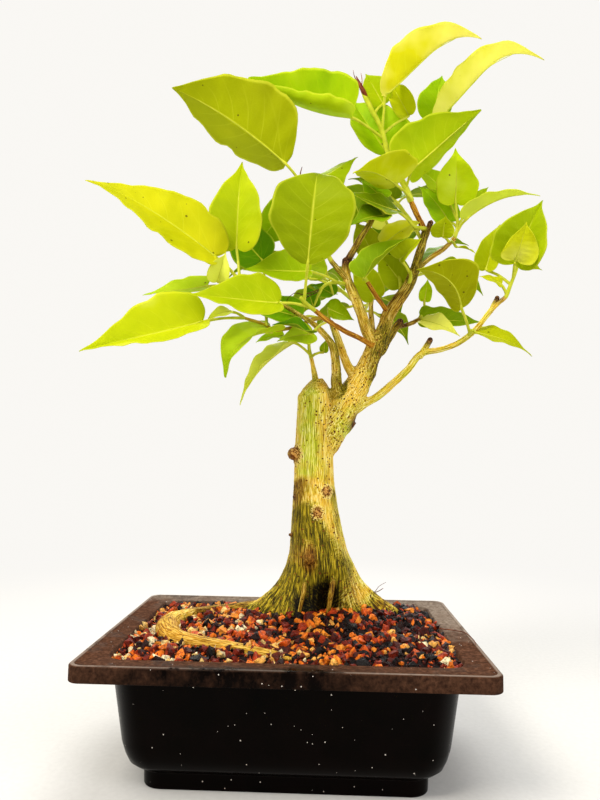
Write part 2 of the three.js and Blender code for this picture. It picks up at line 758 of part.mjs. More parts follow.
        face: [4, 4, 8], fold: 19, bend: 0.20, outline: 'slender',
      },
      { root: [160, 10, 366], base: [165, 12, 365], tip: [213, 4, 342], width: 30, face: [0, -6, 8] },
    ],
  },
  spray_right_low: {
    stem: [[122, 62, 389, 1.9], [124, 63, 394, 1.6], [127, 64, 400, 1.2]],
    leaves: [
      {
        root: [123, 62, 391], base: [123, 58, 388], tip: [182, 48, 382], width: 34,
        face: [-1, -8, 6], fold: 15, arch: -0.02,
      },
      { root: [123, 62, 392], base: [123, 54, 384], tip: [155, 38, 365], width: 26, face: [0, -8, 6] },
      { root: [127, 64, 399], base: [127, 64, 408], tip: [131, 66, 431], width: 14, face: [0, -10, 1] },
    ],
  },
  spray_back_middle: {
    stem: [
      [94, 35, 398, 2], [100, 42, 413, 1.9], [99, 54, 438, 1.7],
      [94, 60, 465, 1.5], [88, 64, 483, 1.2],
    ],
    leaves: [
      {
        root: [99, 54, 438], base: [95, 60, 447], tip: [75, 72, 493], width: 38,
        face: [-2, -10, 2], fold: 30,
      },
      {
        root: [94, 60, 469], base: [88, 62, 490], tip: [54, 68, 514], width: 32,
        face: [-3, -10, -1], fold: 33,
      },
      {
        root: [101, 42, 413], base: [103, 50, 421], tip: [80, 60, 456], width: 36,
        face: [-3, -10, 1], fold: 33,
      },
      {
        root: [99, 52, 434], base: [75, 48, 406], tip: [55, 56, 449], width: 32,
        face: [-1, -10, 1], fold: 31,
      },
      {
        root: [99, 54, 440], base: [74, 56, 453], tip: [57, 62, 489], width: 32,
        face: [-1, -10, 1], fold: 26,
      },
    ],
  },
  spray_top: {
    stem: [
      [109, 31, 498, 2.4], [103, 28, 511, 2.2], [94, 25, 526, 2], [85, 22, 545, 1.8],
      [79, 20, 566, 1.7], [70, 20, 584, 1.7], [64, 20, 597, 1.9], [57, 20, 612, 0.6],
    ],
    leaves: [
      {
        root: [109, 30, 499], base: [92, 10, 505], tip: [50, -26, 499], width: 66,
        face: [-1, 0, 10], fold: 22, arch: 0.09,
      },
      {
        root: [104, 28, 510], base: [107, 8, 519], tip: [166, -14, 564], width: 70,
        face: [-3, 6, 7], fold: 36, bend: 0.05, full: 0.8,
      },
      {
        root: [82, 21, 555], base: [50, 8, 570], tip: [-48, -8, 598], width: 78,
        face: [2, -9, 3], fold: 49, arch: -0.1, full: 0.45,
      },
      {
        root: [80, 20, 564], base: [82, 8, 593], tip: [165, -22, 628], width: 56,
        face: [-3, 2, 9], fold: 53, arch: -0.04, curl: 0.4, outline: 'slender',
      },
      {
        root: [86, 22, 543], base: [135, 26, 578], tip: [227, -4, 618], width: 46,
        face: [-3, 2, 9], fold: 48, arch: -0.06, curl: 0.55, outline: 'slender',
      },
      {
        root: [88, 23, 538], base: [135, 50, 592], tip: [145, 58, 643], width: 40,
        face: [-2, -10, 2], fold: 29,
      },
      {
        root: [72, 20, 580], base: [82, 34, 599], tip: [65, 40, 634], width: 32,
        face: [-3, -10, 0], fold: 35,
      },
      {
        root: [86, 22, 541], base: [86, 42, 553], tip: [52, 56, 614], width: 66,
        face: [1, -10, 3], fold: 33, bend: 0.05,
      },
      {
        root: [80, 21, 560], base: [107, 38, 585], tip: [89, 46, 625], width: 30,
        face: [-3, -9, 0], fold: 42,
      },
    ],
  },
};

// Shoots at the back of the crown: a stem, then how many leaves spiral up it, the seed, the first
// leaf's direction in degrees, and the usual length and width of a blade.
const backShoots = {
  spray_back_left: [[[54, 27, 398, 2], [36, 52, 420, 1.8], [8, 82, 446, 1.3]], 4, 11, 130, 62, 42],
  spray_back_right: [[[108, 36, 416, 2], [116, 70, 434, 1.8], [134, 104, 448, 1.3]], 4, 12, -20, 60, 40],
  spray_back_top: [[[121, 37, 460, 2], [110, 64, 496, 1.8], [92, 92, 530, 1.3]], 4, 13, 100, 62, 42],
  spray_back_low: [[[74, 52, 412, 1.9], [72, 84, 410, 1.7], [70, 102, 406, 1.3]], 3, 14, 60, 50, 36],
};

// ---------------------------------------------------------------- materials

const leafColours = {
  bright: '#9cc03a',
  lime: '#b3cf3e',
  olive: '#8ea63a',
  deep: '#4f8d2c',
};

const leafMaterial = (colour) => (
  new THREE.MeshStandardMaterial({ color: colour, roughness: 0.45, metalness: 0 })
);
const potMaterial = new THREE.MeshStandardMaterial({ color: '#2a1b16', roughness: 0.42, metalness: 0 });
const soilMaterial = new THREE.MeshStandardMaterial({ color: '#7a3a22', roughness: 0.95, metalness: 0 });
const barkMaterial = new THREE.MeshStandardMaterial({ color: '#a89a4a', roughness: 0.8, metalness: 0 });

const sprayColours = {
  spray_left: leafColours.lime,
  spray_centre: leafColours.lime,
  spray_upper_left: leafColours.lime,
  spray_top: leafColours.lime,
  spray_right_far: leafColours.lime,
  spray_right_mid: leafColours.olive,
  spray_right_up: leafColours.bright,
  spray_stub: leafColours.bright,
};

// ---------------------------------------------------------------- the plant

function named(name, solid, material) {
  const mesh = new THREE.Mesh(geometryOf(solid), material);
  mesh.name = name;
  return mesh;
}

const bonsai = new THREE.Group();
const treeClearance = makeTree(clearance);

bonsai.add(named('pot', makePot(), potMaterial));
bonsai.add(named('soil', makeSoil(makeTree(plantingGap)), soilMaterial));
bonsai.add(named('trunk', makeTree(0), barkMaterial));

const crown = new THREE.Group();
for (const [name, spray] of Object.entries(sprays)) {
  const colour = sprayColours[name] ?? leafColours.deep;
  crown.add(named(name, largestBody(makeSpray(spray).subtract(treeClearance)), leafMaterial(colour)));
}
for (const [name, [stem, ...habit]] of Object.entries(backShoots)) {
  const spray = makeSpray({ stem, leaves: spiralLeaves(stem, ...habit) });
  crown.add(named(name, largestBody(spray.subtract(treeClearance)), leafMaterial(leafColours.deep)));
}
bonsai.add(crown);

export default bonsai;
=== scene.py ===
import math
import json
from functools import partial
import bpy
import bmesh
import numpy as np
from mathutils import Matrix, Vector, noise
from mathutils.kdtree import KDTree

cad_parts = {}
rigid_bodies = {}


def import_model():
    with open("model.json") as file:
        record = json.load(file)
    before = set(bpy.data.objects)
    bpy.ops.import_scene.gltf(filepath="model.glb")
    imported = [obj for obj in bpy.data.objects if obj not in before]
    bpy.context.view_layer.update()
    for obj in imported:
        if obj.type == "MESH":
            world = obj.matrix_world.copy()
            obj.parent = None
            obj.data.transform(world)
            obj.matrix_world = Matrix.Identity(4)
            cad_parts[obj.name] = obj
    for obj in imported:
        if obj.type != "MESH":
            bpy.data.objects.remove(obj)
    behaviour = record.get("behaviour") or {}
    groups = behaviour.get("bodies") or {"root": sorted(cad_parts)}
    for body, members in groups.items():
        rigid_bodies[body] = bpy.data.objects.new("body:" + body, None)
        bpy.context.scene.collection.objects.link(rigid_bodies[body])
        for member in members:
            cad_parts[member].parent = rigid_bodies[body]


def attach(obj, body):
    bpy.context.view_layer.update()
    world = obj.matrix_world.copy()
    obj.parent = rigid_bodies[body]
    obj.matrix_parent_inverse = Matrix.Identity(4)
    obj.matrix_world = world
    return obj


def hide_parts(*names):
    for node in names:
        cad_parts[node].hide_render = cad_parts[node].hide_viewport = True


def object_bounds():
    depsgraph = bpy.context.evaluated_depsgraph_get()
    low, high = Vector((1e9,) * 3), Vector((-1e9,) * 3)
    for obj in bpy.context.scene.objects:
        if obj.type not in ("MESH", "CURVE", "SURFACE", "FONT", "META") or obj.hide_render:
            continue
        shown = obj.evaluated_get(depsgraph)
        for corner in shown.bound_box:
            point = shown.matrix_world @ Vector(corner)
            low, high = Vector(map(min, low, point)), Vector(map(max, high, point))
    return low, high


# Sacred fig bonsai in a brown plastic training pot. Sizes are in millimetres up to the
# point where a mesh is made, and metres after it.

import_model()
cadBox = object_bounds()
mm = 0.001


def linear(code):  # sRGB hex to linear colour
    parts = [int(code[i:i + 2], 16) / 255 for i in (1, 3, 5)]
    return [c / 12.92 if c <= 0.04045 else ((c + 0.055) / 1.055) ** 2.4 for c in parts] + [1.0]


def addNode(tree, kind, inputs=None, ramp=None, **settings):  # a short kind is a shader node's
    made = tree.nodes.new(kind if "Node" in kind else "ShaderNode" + kind)
    for name, value in settings.items():
        setattr(made, name, value)
    for key, value in (inputs or {}).items():
        socket = made.inputs[key]
        if isinstance(value, bpy.types.Node):
            value = next(s for s in value.outputs if s.enabled)
        if isinstance(value, bpy.types.NodeSocket):
            tree.links.new(value, socket)
        else:
            socket.default_value = value
    if ramp:
        stops = made.color_ramp.elements
        while len(stops) < len(ramp):
            stops.new(0.5)
        for stop, (place, code) in zip(stops, ramp):
            stop.position = place
            stop.color = linear(code)
    return made


def newMaterial(name):
    material = bpy.data.materials.new(name)
    material.use_nodes = True
    material.node_tree.nodes.clear()
    return material, partial(addNode, material.node_tree)


def dotsIn(node, place, scale, smallest, largest):  # a dot in each cell, and the cell's own colour
    cells = node("TexVoronoi", {"Vector": place, "Scale": scale})
    drawn = node("SeparateColor", {0: cells.outputs["Color"]})
    width = node("MapRange", {0: drawn.outputs["Green"], 3: smallest, 4: largest})
    return node("Math", {0: cells, 1: width}, operation="LESS_THAN"), drawn


def randomDraw(seed):  # the same draw of numbers as the part's source
    state = seed

    def draw():
        nonlocal state
        state = (state + 0x6D2B79F5) & 0xFFFFFFFF
        t = ((state ^ (state >> 15)) * (1 | state)) & 0xFFFFFFFF
        t = ((t + (((t ^ (t >> 7)) * (61 | t)) & 0xFFFFFFFF)) & 0xFFFFFFFF) ^ t
        return ((t ^ (t >> 14)) & 0xFFFFFFFF) / 4294967296
    return draw


def unit(v):
    v = np.asarray(v, float)
    return v / np.linalg.norm(v, axis=-1, keepdims=True)


def smoothCurve(points):  # centripetal curve through the points; returns a function of 0 to 1
    p = np.array(points, float)
    ends = [2 * p[0] - p[1]], [2 * p[-1] - p[-2]]
    q = np.vstack([ends[0], p, ends[1]])
    spans = len(p) - 1

    def at(t):
        t = min(max(t, 0.0), 1.0) * spans
        k = min(int(t), spans - 1)
        w = t - k
        a, b, c, d = q[k:k + 4]
        g1 = max(np.linalg.norm(b - c), 1e-8) ** 0.5
        g0 = np.linalg.norm(a - b) ** 0.5 or g1
        g2 = np.linalg.norm(c - d) ** 0.5 or g1
        m1 = ((b - a) / g0 - (c - a) / (g0 + g1) + (c - b) / g1) * g1
        m2 = ((c - b) / g1 - (d - b) / (g1 + g2) + (d - c) / g2) * g1
        return b + m1 * w + (3 * (c - b) - 2 * m1 - m2) * w ** 2 + (2 * (b - c) + m1 + m2) * w ** 3
    return at


def sampleLimb(nodes, step):  # centres, radii, tangents and a side direction that doesn't twist
    nodes = np.array(nodes, float)
    at = smoothCurve(nodes[:, :3])
    rough = np.array([at(t) for t in np.linspace(0, 1, 12 * len(nodes))])
    length = np.linalg.norm(np.diff(rough, axis=0), axis=1).sum()
    count = max(4, int(length / step) + 1)
    ts = np.linspace(0, 1, count)
    centres = np.array([at(t) for t in ts])
    radii = np.interp(ts * (len(nodes) - 1), range(len(nodes)), nodes[:, 3])
    tangents = unit(np.gradient(centres, axis=0))
    side = np.array([0.31, 0.87, 0.38])
    sides = []
    for tangent in tangents:
        side = unit(side - tangent * side.dot(tangent))
        sides.append(side)
    along = np.concatenate([[0], np.cumsum(np.linalg.norm(np.diff(centres, axis=0), axis=1))])
    return centres, radii, tangents, np.array(sides), along


def ringFaces(rings, count, first=0, capped=True):  # quads between closed rings of count points
    faces = []
    for r in range(rings - 1):
        for i in range(count):
            a, b = first + r * count + i, first + r * count + (i + 1) % count
            faces.append((a, b, b + count, a + count))
    if capped:
        last = first + (rings - 1) * count
        faces += [list(range(first, first + count))[::-1], list(range(last, last + count))]
    return faces


def placeObject(name, data):
    made = bpy.data.objects.new(name, data)
    bpy.context.scene.collection.objects.link(made)
    return made


def meshObject(name, points, faces, materials, smooth=True):
    mesh = bpy.data.meshes.new(name)
    mesh.from_pydata((np.asarray(points) * mm).tolist(), [], faces)
    for material in materials:
        mesh.materials.append(material)
    mesh.polygons.foreach_set("use_smooth", [smooth] * len(mesh.polygons))
    return placeObject(name, mesh)


def bake(made):  # the evaluated mesh takes the place of the modifiers
    graph = bpy.context.evaluated_depsgraph_get()
    graph.update()
    mesh = bpy.data.meshes.new_from_object(made.evaluated_get(graph))
    made.modifiers.clear()
    made.data = mesh
    return made


def keep(piece, slotName, *nodes):  # the piece stands for those nodes of the part
    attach(piece, "root")
    if nodes:
        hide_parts(*nodes)
    triangles = sum(len(p.vertices) - 2 for p in piece.data.polygons)
    print(f"  {piece.name}: {triangles} triangles")


def tube(nodes, step, sides, first, rough=0.0, seed=0.0):  # a limb with rounded, closed ends
    centres, radii, tangents, sideways, along = sampleLimb(nodes, step)
    across = np.cross(sideways, tangents)
    points = []
    angles = np.linspace(0, 2 * math.pi, sides, endpoint=False)
    rows = [(i, 0.0, 1.0) for i in range(len(radii))]
    rows = [(0, -0.55, 0.55)] + rows + [(len(radii) - 1, 0.55, 0.55)]
    for i, push, share in rows:
        lift = centres[i] + tangents[i] * push * radii[i]
        for a in angles:
            r = radii[i] * share
            if rough:
                spot = Vector((math.cos(a) * 1.3, math.sin(a) * 1.3, along[i] * 0.09 + seed))
                r *= 1 + rough * noise.noise(spot)
            points.append(lift + r * (math.cos(a) * across[i] + math.sin(a) * sideways[i]))
    faces = ringFaces(len(rows), sides, first, capped=False)
    for end, away in ((0, -0.75), (-1, 0.75)):
        points.append(centres[end] + tangents[end] * radii[end] * away)
    top = first + len(rows) * sides
    for i in range(sides):
        j = (i + 1) % sides
        faces.append((first + j, first + i, top))
        faces.append((top - sides + i, top - sides + j, top + 1))
    return points, faces


# The pot: rows of inset from the rim's outer edge, level and corner radius, round the outside from
# the foot to the rim, and down the inside. The edge is the width of its small bevels, which are cut
# where faces meet at more than the sharpest angle, in degrees.

pot = dict(
    length=305, width=229, cornerSteps=14, edge=0.7, edgeSegments=3, sharpest=38, shadedTo=50,
    outside=[
        (44, 0, 15), (43.5, 12, 15), (41, 14.5, 17), (36.6, 16.6, 20), (33, 20, 22), (30.2, 26.5, 23.5),
        (28, 35, 24), (22, 89, 20), (17.5, 97.5, 16), (3, 98, 7), (3, 90, 7), (0, 90, 10),
        (0, 100.6, 10), (0.7, 101.7, 9.4), (1.7, 102, 8.6), (3, 102, 8), (4, 101, 8),
    ],
    inside=[(19.5, 101, 16), (20.6, 100.2, 16.4), (25, 89, 18), (31, 35, 22), (36, 23, 20), (45, 17, 14),
            (47.2, 3.5, 12)],
    drainHoles=[(-60, -30), (60, -30), (-60, 30), (60, 30)], drainRadius=5, drillDepth=40, drillSides=28,
)


def potRing(inset, level, corner, steps):
    ring = []
    corner = max(corner, 0.2)
    halfX, halfY = pot["length"] / 2 - inset - corner, pot["width"] / 2 - inset - corner
    for signX, signY, start in ((1, 1, 0), (-1, 1, 90), (-1, -1, 180), (1, -1, 270)):
        for i in range(steps):
            angle = math.radians(start + 90 * i / (steps - 1))
            ring.append((signX * halfX + corner * math.cos(angle),
                         signY * halfY + corner * math.sin(angle), level))
    return ring


def makePot():
    rows = pot["outside"] + pot["inside"]
    points = [p for row in rows for p in potRing(*row, pot["cornerSteps"])]
    faces = ringFaces(len(rows), 4 * pot["cornerSteps"])
    shell = meshObject("pottedShell", points, faces, [mouldedPlastic()])
    drill = bmesh.new()
    radius = pot["drainRadius"] * mm
    for x, y in pot["drainHoles"]:
        place = Matrix.Translation((x * mm, y * mm, 0))
        bmesh.ops.create_cone(drill, cap_ends=True, segments=pot["drillSides"], matrix=place,
                              depth=pot["drillDepth"] * mm, radius1=radius, radius2=radius)
    mesh = bpy.data.meshes.new("drill")
    drill.to_mesh(mesh)
    drill.free()
    cutter = placeObject("drill", mesh)
    cut = shell.modifiers.new("drain holes", "BOOLEAN")
    cut.operation, cut.object, cut.solver = "DIFFERENCE", cutter, "EXACT"
    edge = shell.modifiers.new("rounded edges", "BEVEL")
    edge.width, edge.segments, edge.limit_method = pot["edge"] * mm, pot["edgeSegments"], "ANGLE"
    edge.angle_limit = math.radians(pot["sharpest"])
    edge.harden_normals = False
    bake(shell)
    bpy.data.objects.remove(cutter)
    shell.data.polygons.foreach_set("use_smooth", [True] * len(shell.data.polygons))
    shell.data.set_sharp_from_angle(angle=math.radians(pot["shadedTo"]))
    keep(shell, "pot_plastic", "pot")


potColours = dict(
    clean=[(0.3, "#020100"), (0.7, "#080302")], smeared=[(0.3, "#26150d"), (0.7, "#543828")],
    brownFilm=[(0.32, "#341c0f"), (0.5, "#482b19"), (0.68, "#664330")],
    # the bead colour is a painted highlight, a pale line along the top of the raised bead
    greyFilm=[(0.32, "#645549"), (0.68, "#988a7c")], beadHighlight="#a3968a", specks="#c8c0b6",
)


# Injection moulded polypropylene, brown-black and satin. Dried soil water leaves a brown film on
# whatever faces up, grey towards the back, and smears down the skirt, which is rinsed almost black in
# the middle of the front. A pale line along the top of the raised bead is a painted highlight laid into
# the film. Pale mineral specks of 0.3 to 1 mm cling all over it.
def mouldedPlastic():
    material, node = newMaterial("moulded polypropylene")
    place = node("TexCoord").outputs["Object"]
    spot = node("SeparateXYZ", {0: place})
    normal = node("NewGeometry").outputs["Normal"]
    facing = node("SeparateXYZ", {0: normal})
    up = node("MapRange", {0: facing.outputs["Z"], 1: 0.35, 2: 0.9})
    high = node("MapRange", {0: spot.outputs["Z"], 1: 0.0885, 2: 0.0905})
    cloud = node("TexNoise", {"Vector": place, "Scale": 30, "Detail": 6, "Roughness": 0.65})
    fine = node("TexNoise", {"Vector": place, "Scale": 330, "Detail": 4, "Roughness": 0.7})
    runs = node("Mapping", {"Vector": place, "Scale": (70, 70, 45)})
    drips = node("TexNoise", {"Vector": runs, "Scale": 1, "Detail": 7, "Roughness": 0.7})
    aside = node("Math", {0: spot.outputs["X"], 1: 0.025}, operation="ADD")
    aside = node("Math", {0: aside}, operation="ABSOLUTE")
    dry = node("MapRange", {0: aside, 1: 0.04, 2: 0.13, 3: -0.42, 4: 0.42})
    smear = node("MapRange", {0: drips, 1: 0.25, 2: 0.75})
    smear = node("Math", {0: smear, 1: dry}, operation="ADD", use_clamp=True)
    smear = node("Math", {0: smear, 1: high}, operation="MULTIPLY")
    clean = node("ValToRGB", {0: cloud}, ramp=potColours["clean"])
    smeared = node("ValToRGB", {0: fine}, ramp=potColours["smeared"])
    body = node("Mix", {0: smear, 6: clean, 7: smeared}, data_type="RGBA")
    brown = node("ValToRGB", {0: fine}, ramp=potColours["brownFilm"])
    grey = node("ValToRGB", {0: fine}, ramp=potColours["greyFilm"])
    corner = node("Math", {0: spot.outputs["X"], 1: 0.35, 2: spot.outputs["Y"]},
                  operation="MULTIPLY_ADD")
    behind = node("MapRange", {0: corner, 1: 0.0, 2: 0.1, 3: -0.15, 4: 1.0})
    patch = node("MapRange", {0: cloud, 1: 0.35, 2: 0.65, 3: -0.3, 4: 0.4})
    greyer = node("Math", {0: behind, 1: patch}, operation="ADD", use_clamp=True)
    film = node("Mix", {0: greyer, 6: brown, 7: grey}, data_type="RGBA")
    # painted highlight: a pale line along the top of the raised bead, laid into the dust film
    onBeadHighlight = node("MapRange", {0: spot.outputs["Z"], 1: 0.1014, 2: 0.1019, 3: 0.0, 4: 0.5})
    film = node("Mix", {0: onBeadHighlight, 6: film, 7: linear(potColours["beadHighlight"])}, data_type="RGBA")
    wet = node("MapRange", {0: cloud, 1: 0.54, 2: 0.6, 3: 0.95, 4: 0.4})
    front = node("MapRange", {0: spot.outputs["Y"], 1: -0.1, 2: -0.108})
    middle = node("MapRange", {0: aside, 1: 0.035, 2: 0.11, 3: 0.55, 4: 0.0})
    rinsed = node("Math", {0: front, 1: middle}, operation="MULTIPLY")
    wet = node("Math", {0: wet, 1: rinsed}, operation="SUBTRACT", use_clamp=True)
    dusty = node("Math", {0: up, 1: wet}, operation="MULTIPLY")
    base = node("Mix", {0: dusty, 6: body, 7: film}, data_type="RGBA")
    dots, drawn = dotsIn(node, place, 230, 0.04, 0.13)
    rare = node("Math", {0: drawn, 1: 0.7}, operation="GREATER_THAN")
    speck = node("Math", {0: rare, 1: dots}, operation="MULTIPLY")
    colour = node("Mix", {0: speck, 6: base, 7: linear(potColours["specks"])}, data_type="RGBA")
    dull = node("Math", {0: dusty, 1: smear}, operation="MAXIMUM")
    rough = node("MapRange", {0: dull, 3: 0.24, 4: 0.8})
    bumps = node("Bump", {"Height": fine, "Strength": 0.12, "Distance": 0.0004})
    skin = node("BsdfPrincipled", {
        "Base Color": colour, "Roughness": rough, "Normal": bumps, "IOR": 1.49,
        "Specular IOR Level": 0.035})
    node("OutputMaterial", {"Surface": skin})
    return material


# The bed of grit: rows up the inside of the pot's wall, then rings from the wall to the middle,
# raised to a mound round the trunk. Loose grains and finer crumbs lie on it.

soil = dict(
    wall=[(47.5, 4.0, 12), (45.3, 17, 14), (36.3, 23, 20), (31.3, 35, 22), (25.3, 89, 18),
          (21.4, 97, 16)],
    cornerSteps=10, rings=34, corner=16, edgeInset=21.8, middleInset=114.1,
    inset=22, atWall=96.5, shoulder=5, shoulderWidth=26, mound=16, reach=(72, 58), centre=(24, 38),
    sunk=1.2, lump=1.4, shapes=9, shapeSeed=40,
    grains=dict(perSquareCm=5.0, smallest=4.8, largest=14.0, palest=1.0, seed=11),
    crumbs=dict(perSquareCm=15, smallest=1.8, largest=4.4, palest=0.56, seed=12),
)


def soilLevel(x, y):
    halfX, halfY = pot["length"] / 2 - soil["inset"], pot["width"] / 2 - soil["inset"]
    fromWall = min(halfX - abs(x), halfY - abs(y))
    share = min(max(fromWall / soil["shoulderWidth"], 0), 1)
    shoulder = soil["shoulder"] * share * share * (3 - 2 * share)
    (centreX, centreY), (reachX, reachY) = soil["centre"], soil["reach"]
    fromTrunk = math.hypot((x - centreX) / reachX, (y - centreY) / reachY)
    return soil["atWall"] + shoulder + soil["mound"] * math.exp(-fromTrunk ** 2)


def makeBed():
    steps = soil["cornerSteps"]
    rings = [potRing(*row, steps) for row in soil["wall"]]
    for i in range(1, soil["rings"] + 1):
        share = i / soil["rings"]
        inset = soil["edgeInset"] + (soil["middleInset"] - soil["edgeInset"]) * share
        ring = []
        for x, y, _ in potRing(inset, 0, soil["corner"] * (1 - share) + 0.2, steps):
            lump = soil["lump"] * noise.noise(Vector((x * 0.16, y * 0.16, 3.0)))
            ring.append((x, y, soilLevel(x, y) - soil["sunk"] + lump))
        rings.append(ring)
    points = [p for ring in rings for p in ring]
    return meshObject("soilBed", points, ringFaces(len(rings), 4 * steps), [finesAndGapShade()])


# dry rootlets on the grit, two curled hairs at the top of the low limb, and a chip of pale wood
litter = dict(
    rootlets=[
        [(128, -2, 104), (139, -13, 105.5), (145, -26, 107), (150, -34, 103.5), (149, -42, 102.6)],
        [(62, 50, 112), (73, 56, 119), (78, 60, 121), (82, 60, 126), (88.6, 60, 130)],
        [(76, 59, 120), (81, 61, 121), (86, 61, 124)],
        [(21, 14, 405), (6, 1, 397), (-1, 0, 398), (-8, 0, 391), (-5, -1, 387)],
        [(20, 13, 403), (8, 2, 393), (5.7, 0, 387), (9, 0, 384)],
    ],
    thickness=0.45, chip=[(82, 26, 105, 0.6), (91, 38, 106.5, 2.2), (99, 49, 105, 0.6)],
)


def makeLitter():
    points, faces = [], []
    for path in litter["rootlets"]:
        nodes = [(x, y, z, litter["thickness"] * (1 - 0.15 * k)) for k, (x, y, z) in enumerate(path)]
        more, sides = tube(nodes, 1.5, 6, len(points))
        points, faces = points + more, faces + sides
    rootlet = dryFibre("dry rootlet", "#3a1408", "#7a3a18")
    keep(meshObject("dryRootlets", points, faces, [rootlet]), "bark")
    points, faces = tube(litter["chip"], 1.5, 8, 0, rough=0.2)
    paleWood = dryFibre("pale dry wood", "#a8803c", "#f0dc9c")
    keep(meshObject("woodChip", points, faces, [paleWood]), "bark")


# Dry plant fibre: matt, streaked from a darker to a paler brown.
def dryFibre(name, darker, paler):
    material, node = newMaterial(name)
    place = node("TexCoord").outputs["Object"]
    streak = node("TexNoise", {"Vector": place, "Scale": 400, "Detail": 4})
    colour = node("ValToRGB", {0: streak}, ramp=[(0.38, darker), (0.62, paler)])
    skin = node("BsdfPrincipled", {"Base Color": colour, "Roughness": 0.8, "Specular IOR Level": 0.1})
    node("OutputMaterial", {"Surface": skin})
    return material


def grainShape(name, seed):  # a crushed fragment: the hull of a few points on a lumpy ball
    rng = np.random.default_rng(seed)
    grown = bmesh.new()
    for p in unit(rng.normal(size=(13, 3))):
        stretch = 0.5 * rng.uniform(0.72, 1.0) * np.array([1.2, 0.95, 0.75])
        grown.verts.new(p * stretch)
    bmesh.ops.convex_hull(grown, input=grown.verts)
    loose = [v for v in grown.verts if not v.link_faces]
    bmesh.ops.delete(grown, geom=loose, context="VERTS")
    bmesh.ops.recalc_face_normals(grown, faces=grown.faces)
    mesh = bpy.data.meshes.new(name)
    grown.to_mesh(mesh)
    grown.free()
    return bpy.data.objects.new(name, mesh)


def grainTree(name, shapes, material):  # scatters fragments over whatever faces up
    tree = bpy.data.node_groups.new(name, "GeometryNodeTree")
    face = tree.interface
    face.new_socket("Geometry", in_out="INPUT", socket_type="NodeSocketGeometry")
    for label, start in (("Grains per square metre", 90000.0), ("Smallest grain", 0.003),
                         ("Largest grain", 0.008), ("Palest", 1.0)):
        face.new_socket(label, in_out="INPUT", socket_type="NodeSocketFloat").default_value = start
    face.new_socket("Seed", in_out="INPUT", socket_type="NodeSocketInt").default_value = 11
    face.new_socket("Geometry", in_out="OUTPUT", socket_type="NodeSocketGeometry")
    node = partial(addNode, tree)
    given = node("NodeGroupInput")
    seed = given.outputs["Seed"]
    normal = node("SeparateXYZ", {0: node("GeometryNodeInputNormal")})
    top = node("FunctionNodeCompare", {0: normal.outputs["Z"], 1: 0.6}, operation="GREATER_THAN")
    spots = node("GeometryNodeDistributePointsOnFaces", {
        "Mesh": given.outputs["Geometry"], "Selection": top,
        "Density": given.outputs["Grains per square metre"], "Seed": seed})
    shape = node("GeometryNodeCollectionInfo", {"Collection": shapes, "Separate Children": True})
    turn = node("FunctionNodeRandomValue", {1: (6.28, 6.28, 6.28), "Seed": seed},
                data_type="FLOAT_VECTOR")
    draw = node("FunctionNodeRandomValue", {"Seed": seed}, data_type="FLOAT")
    skewed = node("Math", {0: draw.outputs[1], 1: 2.0}, operation="POWER")
    size = node("MapRange", {
        0: skewed, 3: given.outputs["Smallest grain"], 4: given.outputs["Largest grain"]})
    placed = node("GeometryNodeInstanceOnPoints", {
        "Points": spots.outputs["Points"], "Instance": shape, "Pick Instance": True,
        "Rotation": turn.outputs[0], "Scale": size})
    tint = node("FunctionNodeRandomValue", {3: given.outputs["Palest"], "Seed": 5}, data_type="FLOAT")
    marked = node("GeometryNodeStoreNamedAttribute", {
        "Geometry": placed, "Name": "grainTint", "Value": tint.outputs[1]},
        data_type="FLOAT", domain="INSTANCE")
    solid = node("GeometryNodeRealizeInstances", {0: marked})
    dressed = node("GeometryNodeSetMaterial", {"Geometry": solid, "Material": material})
    node("NodeGroupOutput", {0: dressed})
    return tree


def scatterGrains(name, bed, shapes, material, size):
    spread = placeObject(name, bed.data.copy())
    tree = grainTree(name + " tree", shapes, material)
    layer = spread.modifiers.new("grains", "NODES")
    layer.node_group = tree
    inputs = {"Grains per square metre": size["perSquareCm"] * 1e4,
              "Smallest grain": size["smallest"] * mm, "Largest grain": size["largest"] * mm,
              "Palest": size["palest"], "Seed": size["seed"]}
    for socket in tree.interface.items_tree:
        if socket.in_out == "INPUT" and socket.name in inputs:
            layer[socket.identifier] = inputs[socket.name]
    bake(spread)
    spread.data.materials.clear()
    spread.data.materials.append(material)
    return spread


def makeSoil():
    bed = makeBed()
    shapes = bpy.data.collections.new("grain shapes")
    for i in range(soil["shapes"]):
        shapes.objects.link(grainShape(f"grain{i}", soil["shapeSeed"] + i))
    grit = crushedGrit()
    grains = scatterGrains("soilGrains", bed, shapes, grit, soil["grains"])
    crumbs = scatterGrains("soilCrumbs", bed, shapes, grit, soil["crumbs"])
    for shape in list(shapes.objects):
        bpy.data.objects.remove(shape)
    bpy.data.collections.remove(shapes)
    keep(bed, "soil_mix", "soil")
    keep(grains, "soil_mix")
    keep(crumbs, "soil_mix")


# Fines between the grains: dark soil, made near black as painted shade of the gaps, with no gloss of their
# own.
def finesAndGapShade():
    material, node = newMaterial("soil fines and painted gap shade")
    place = node("TexCoord").outputs["Object"]
    cloud = node("TexNoise", {"Vector": place, "Scale": 350, "Detail": 5})
    # near black: painted shade in the gaps between the grains, over dark fines
    colour = node("ValToRGB", {0: cloud}, ramp=[(0.35, "#060302"), (0.7, "#1c0b07")])
    bumps = node("Bump", {"Height": cloud, "Strength": 0.8, "Distance": 0.001})
    skin = node("BsdfPrincipled", {
        "Base Color": colour, "Roughness": 0.85, "Normal": bumps, "Specular IOR Level": 0.1})
    node("OutputMaterial", {"Surface": skin})
    return material


gritColours = [
    (0.0, "#0b0403"), (0.13, "#260a07"), (0.24, "#49130b"), (0.35, "#78200c"), (0.45, "#a8360e"),
    (0.54, "#d05512"), (0.63, "#ea7616"), (0.72, "#f0902a"), (0.8, "#f2b050"), (0.86, "#6b2812"),
    (0.9, "#efc878"), (0.97, "#f6e4b4"),
]


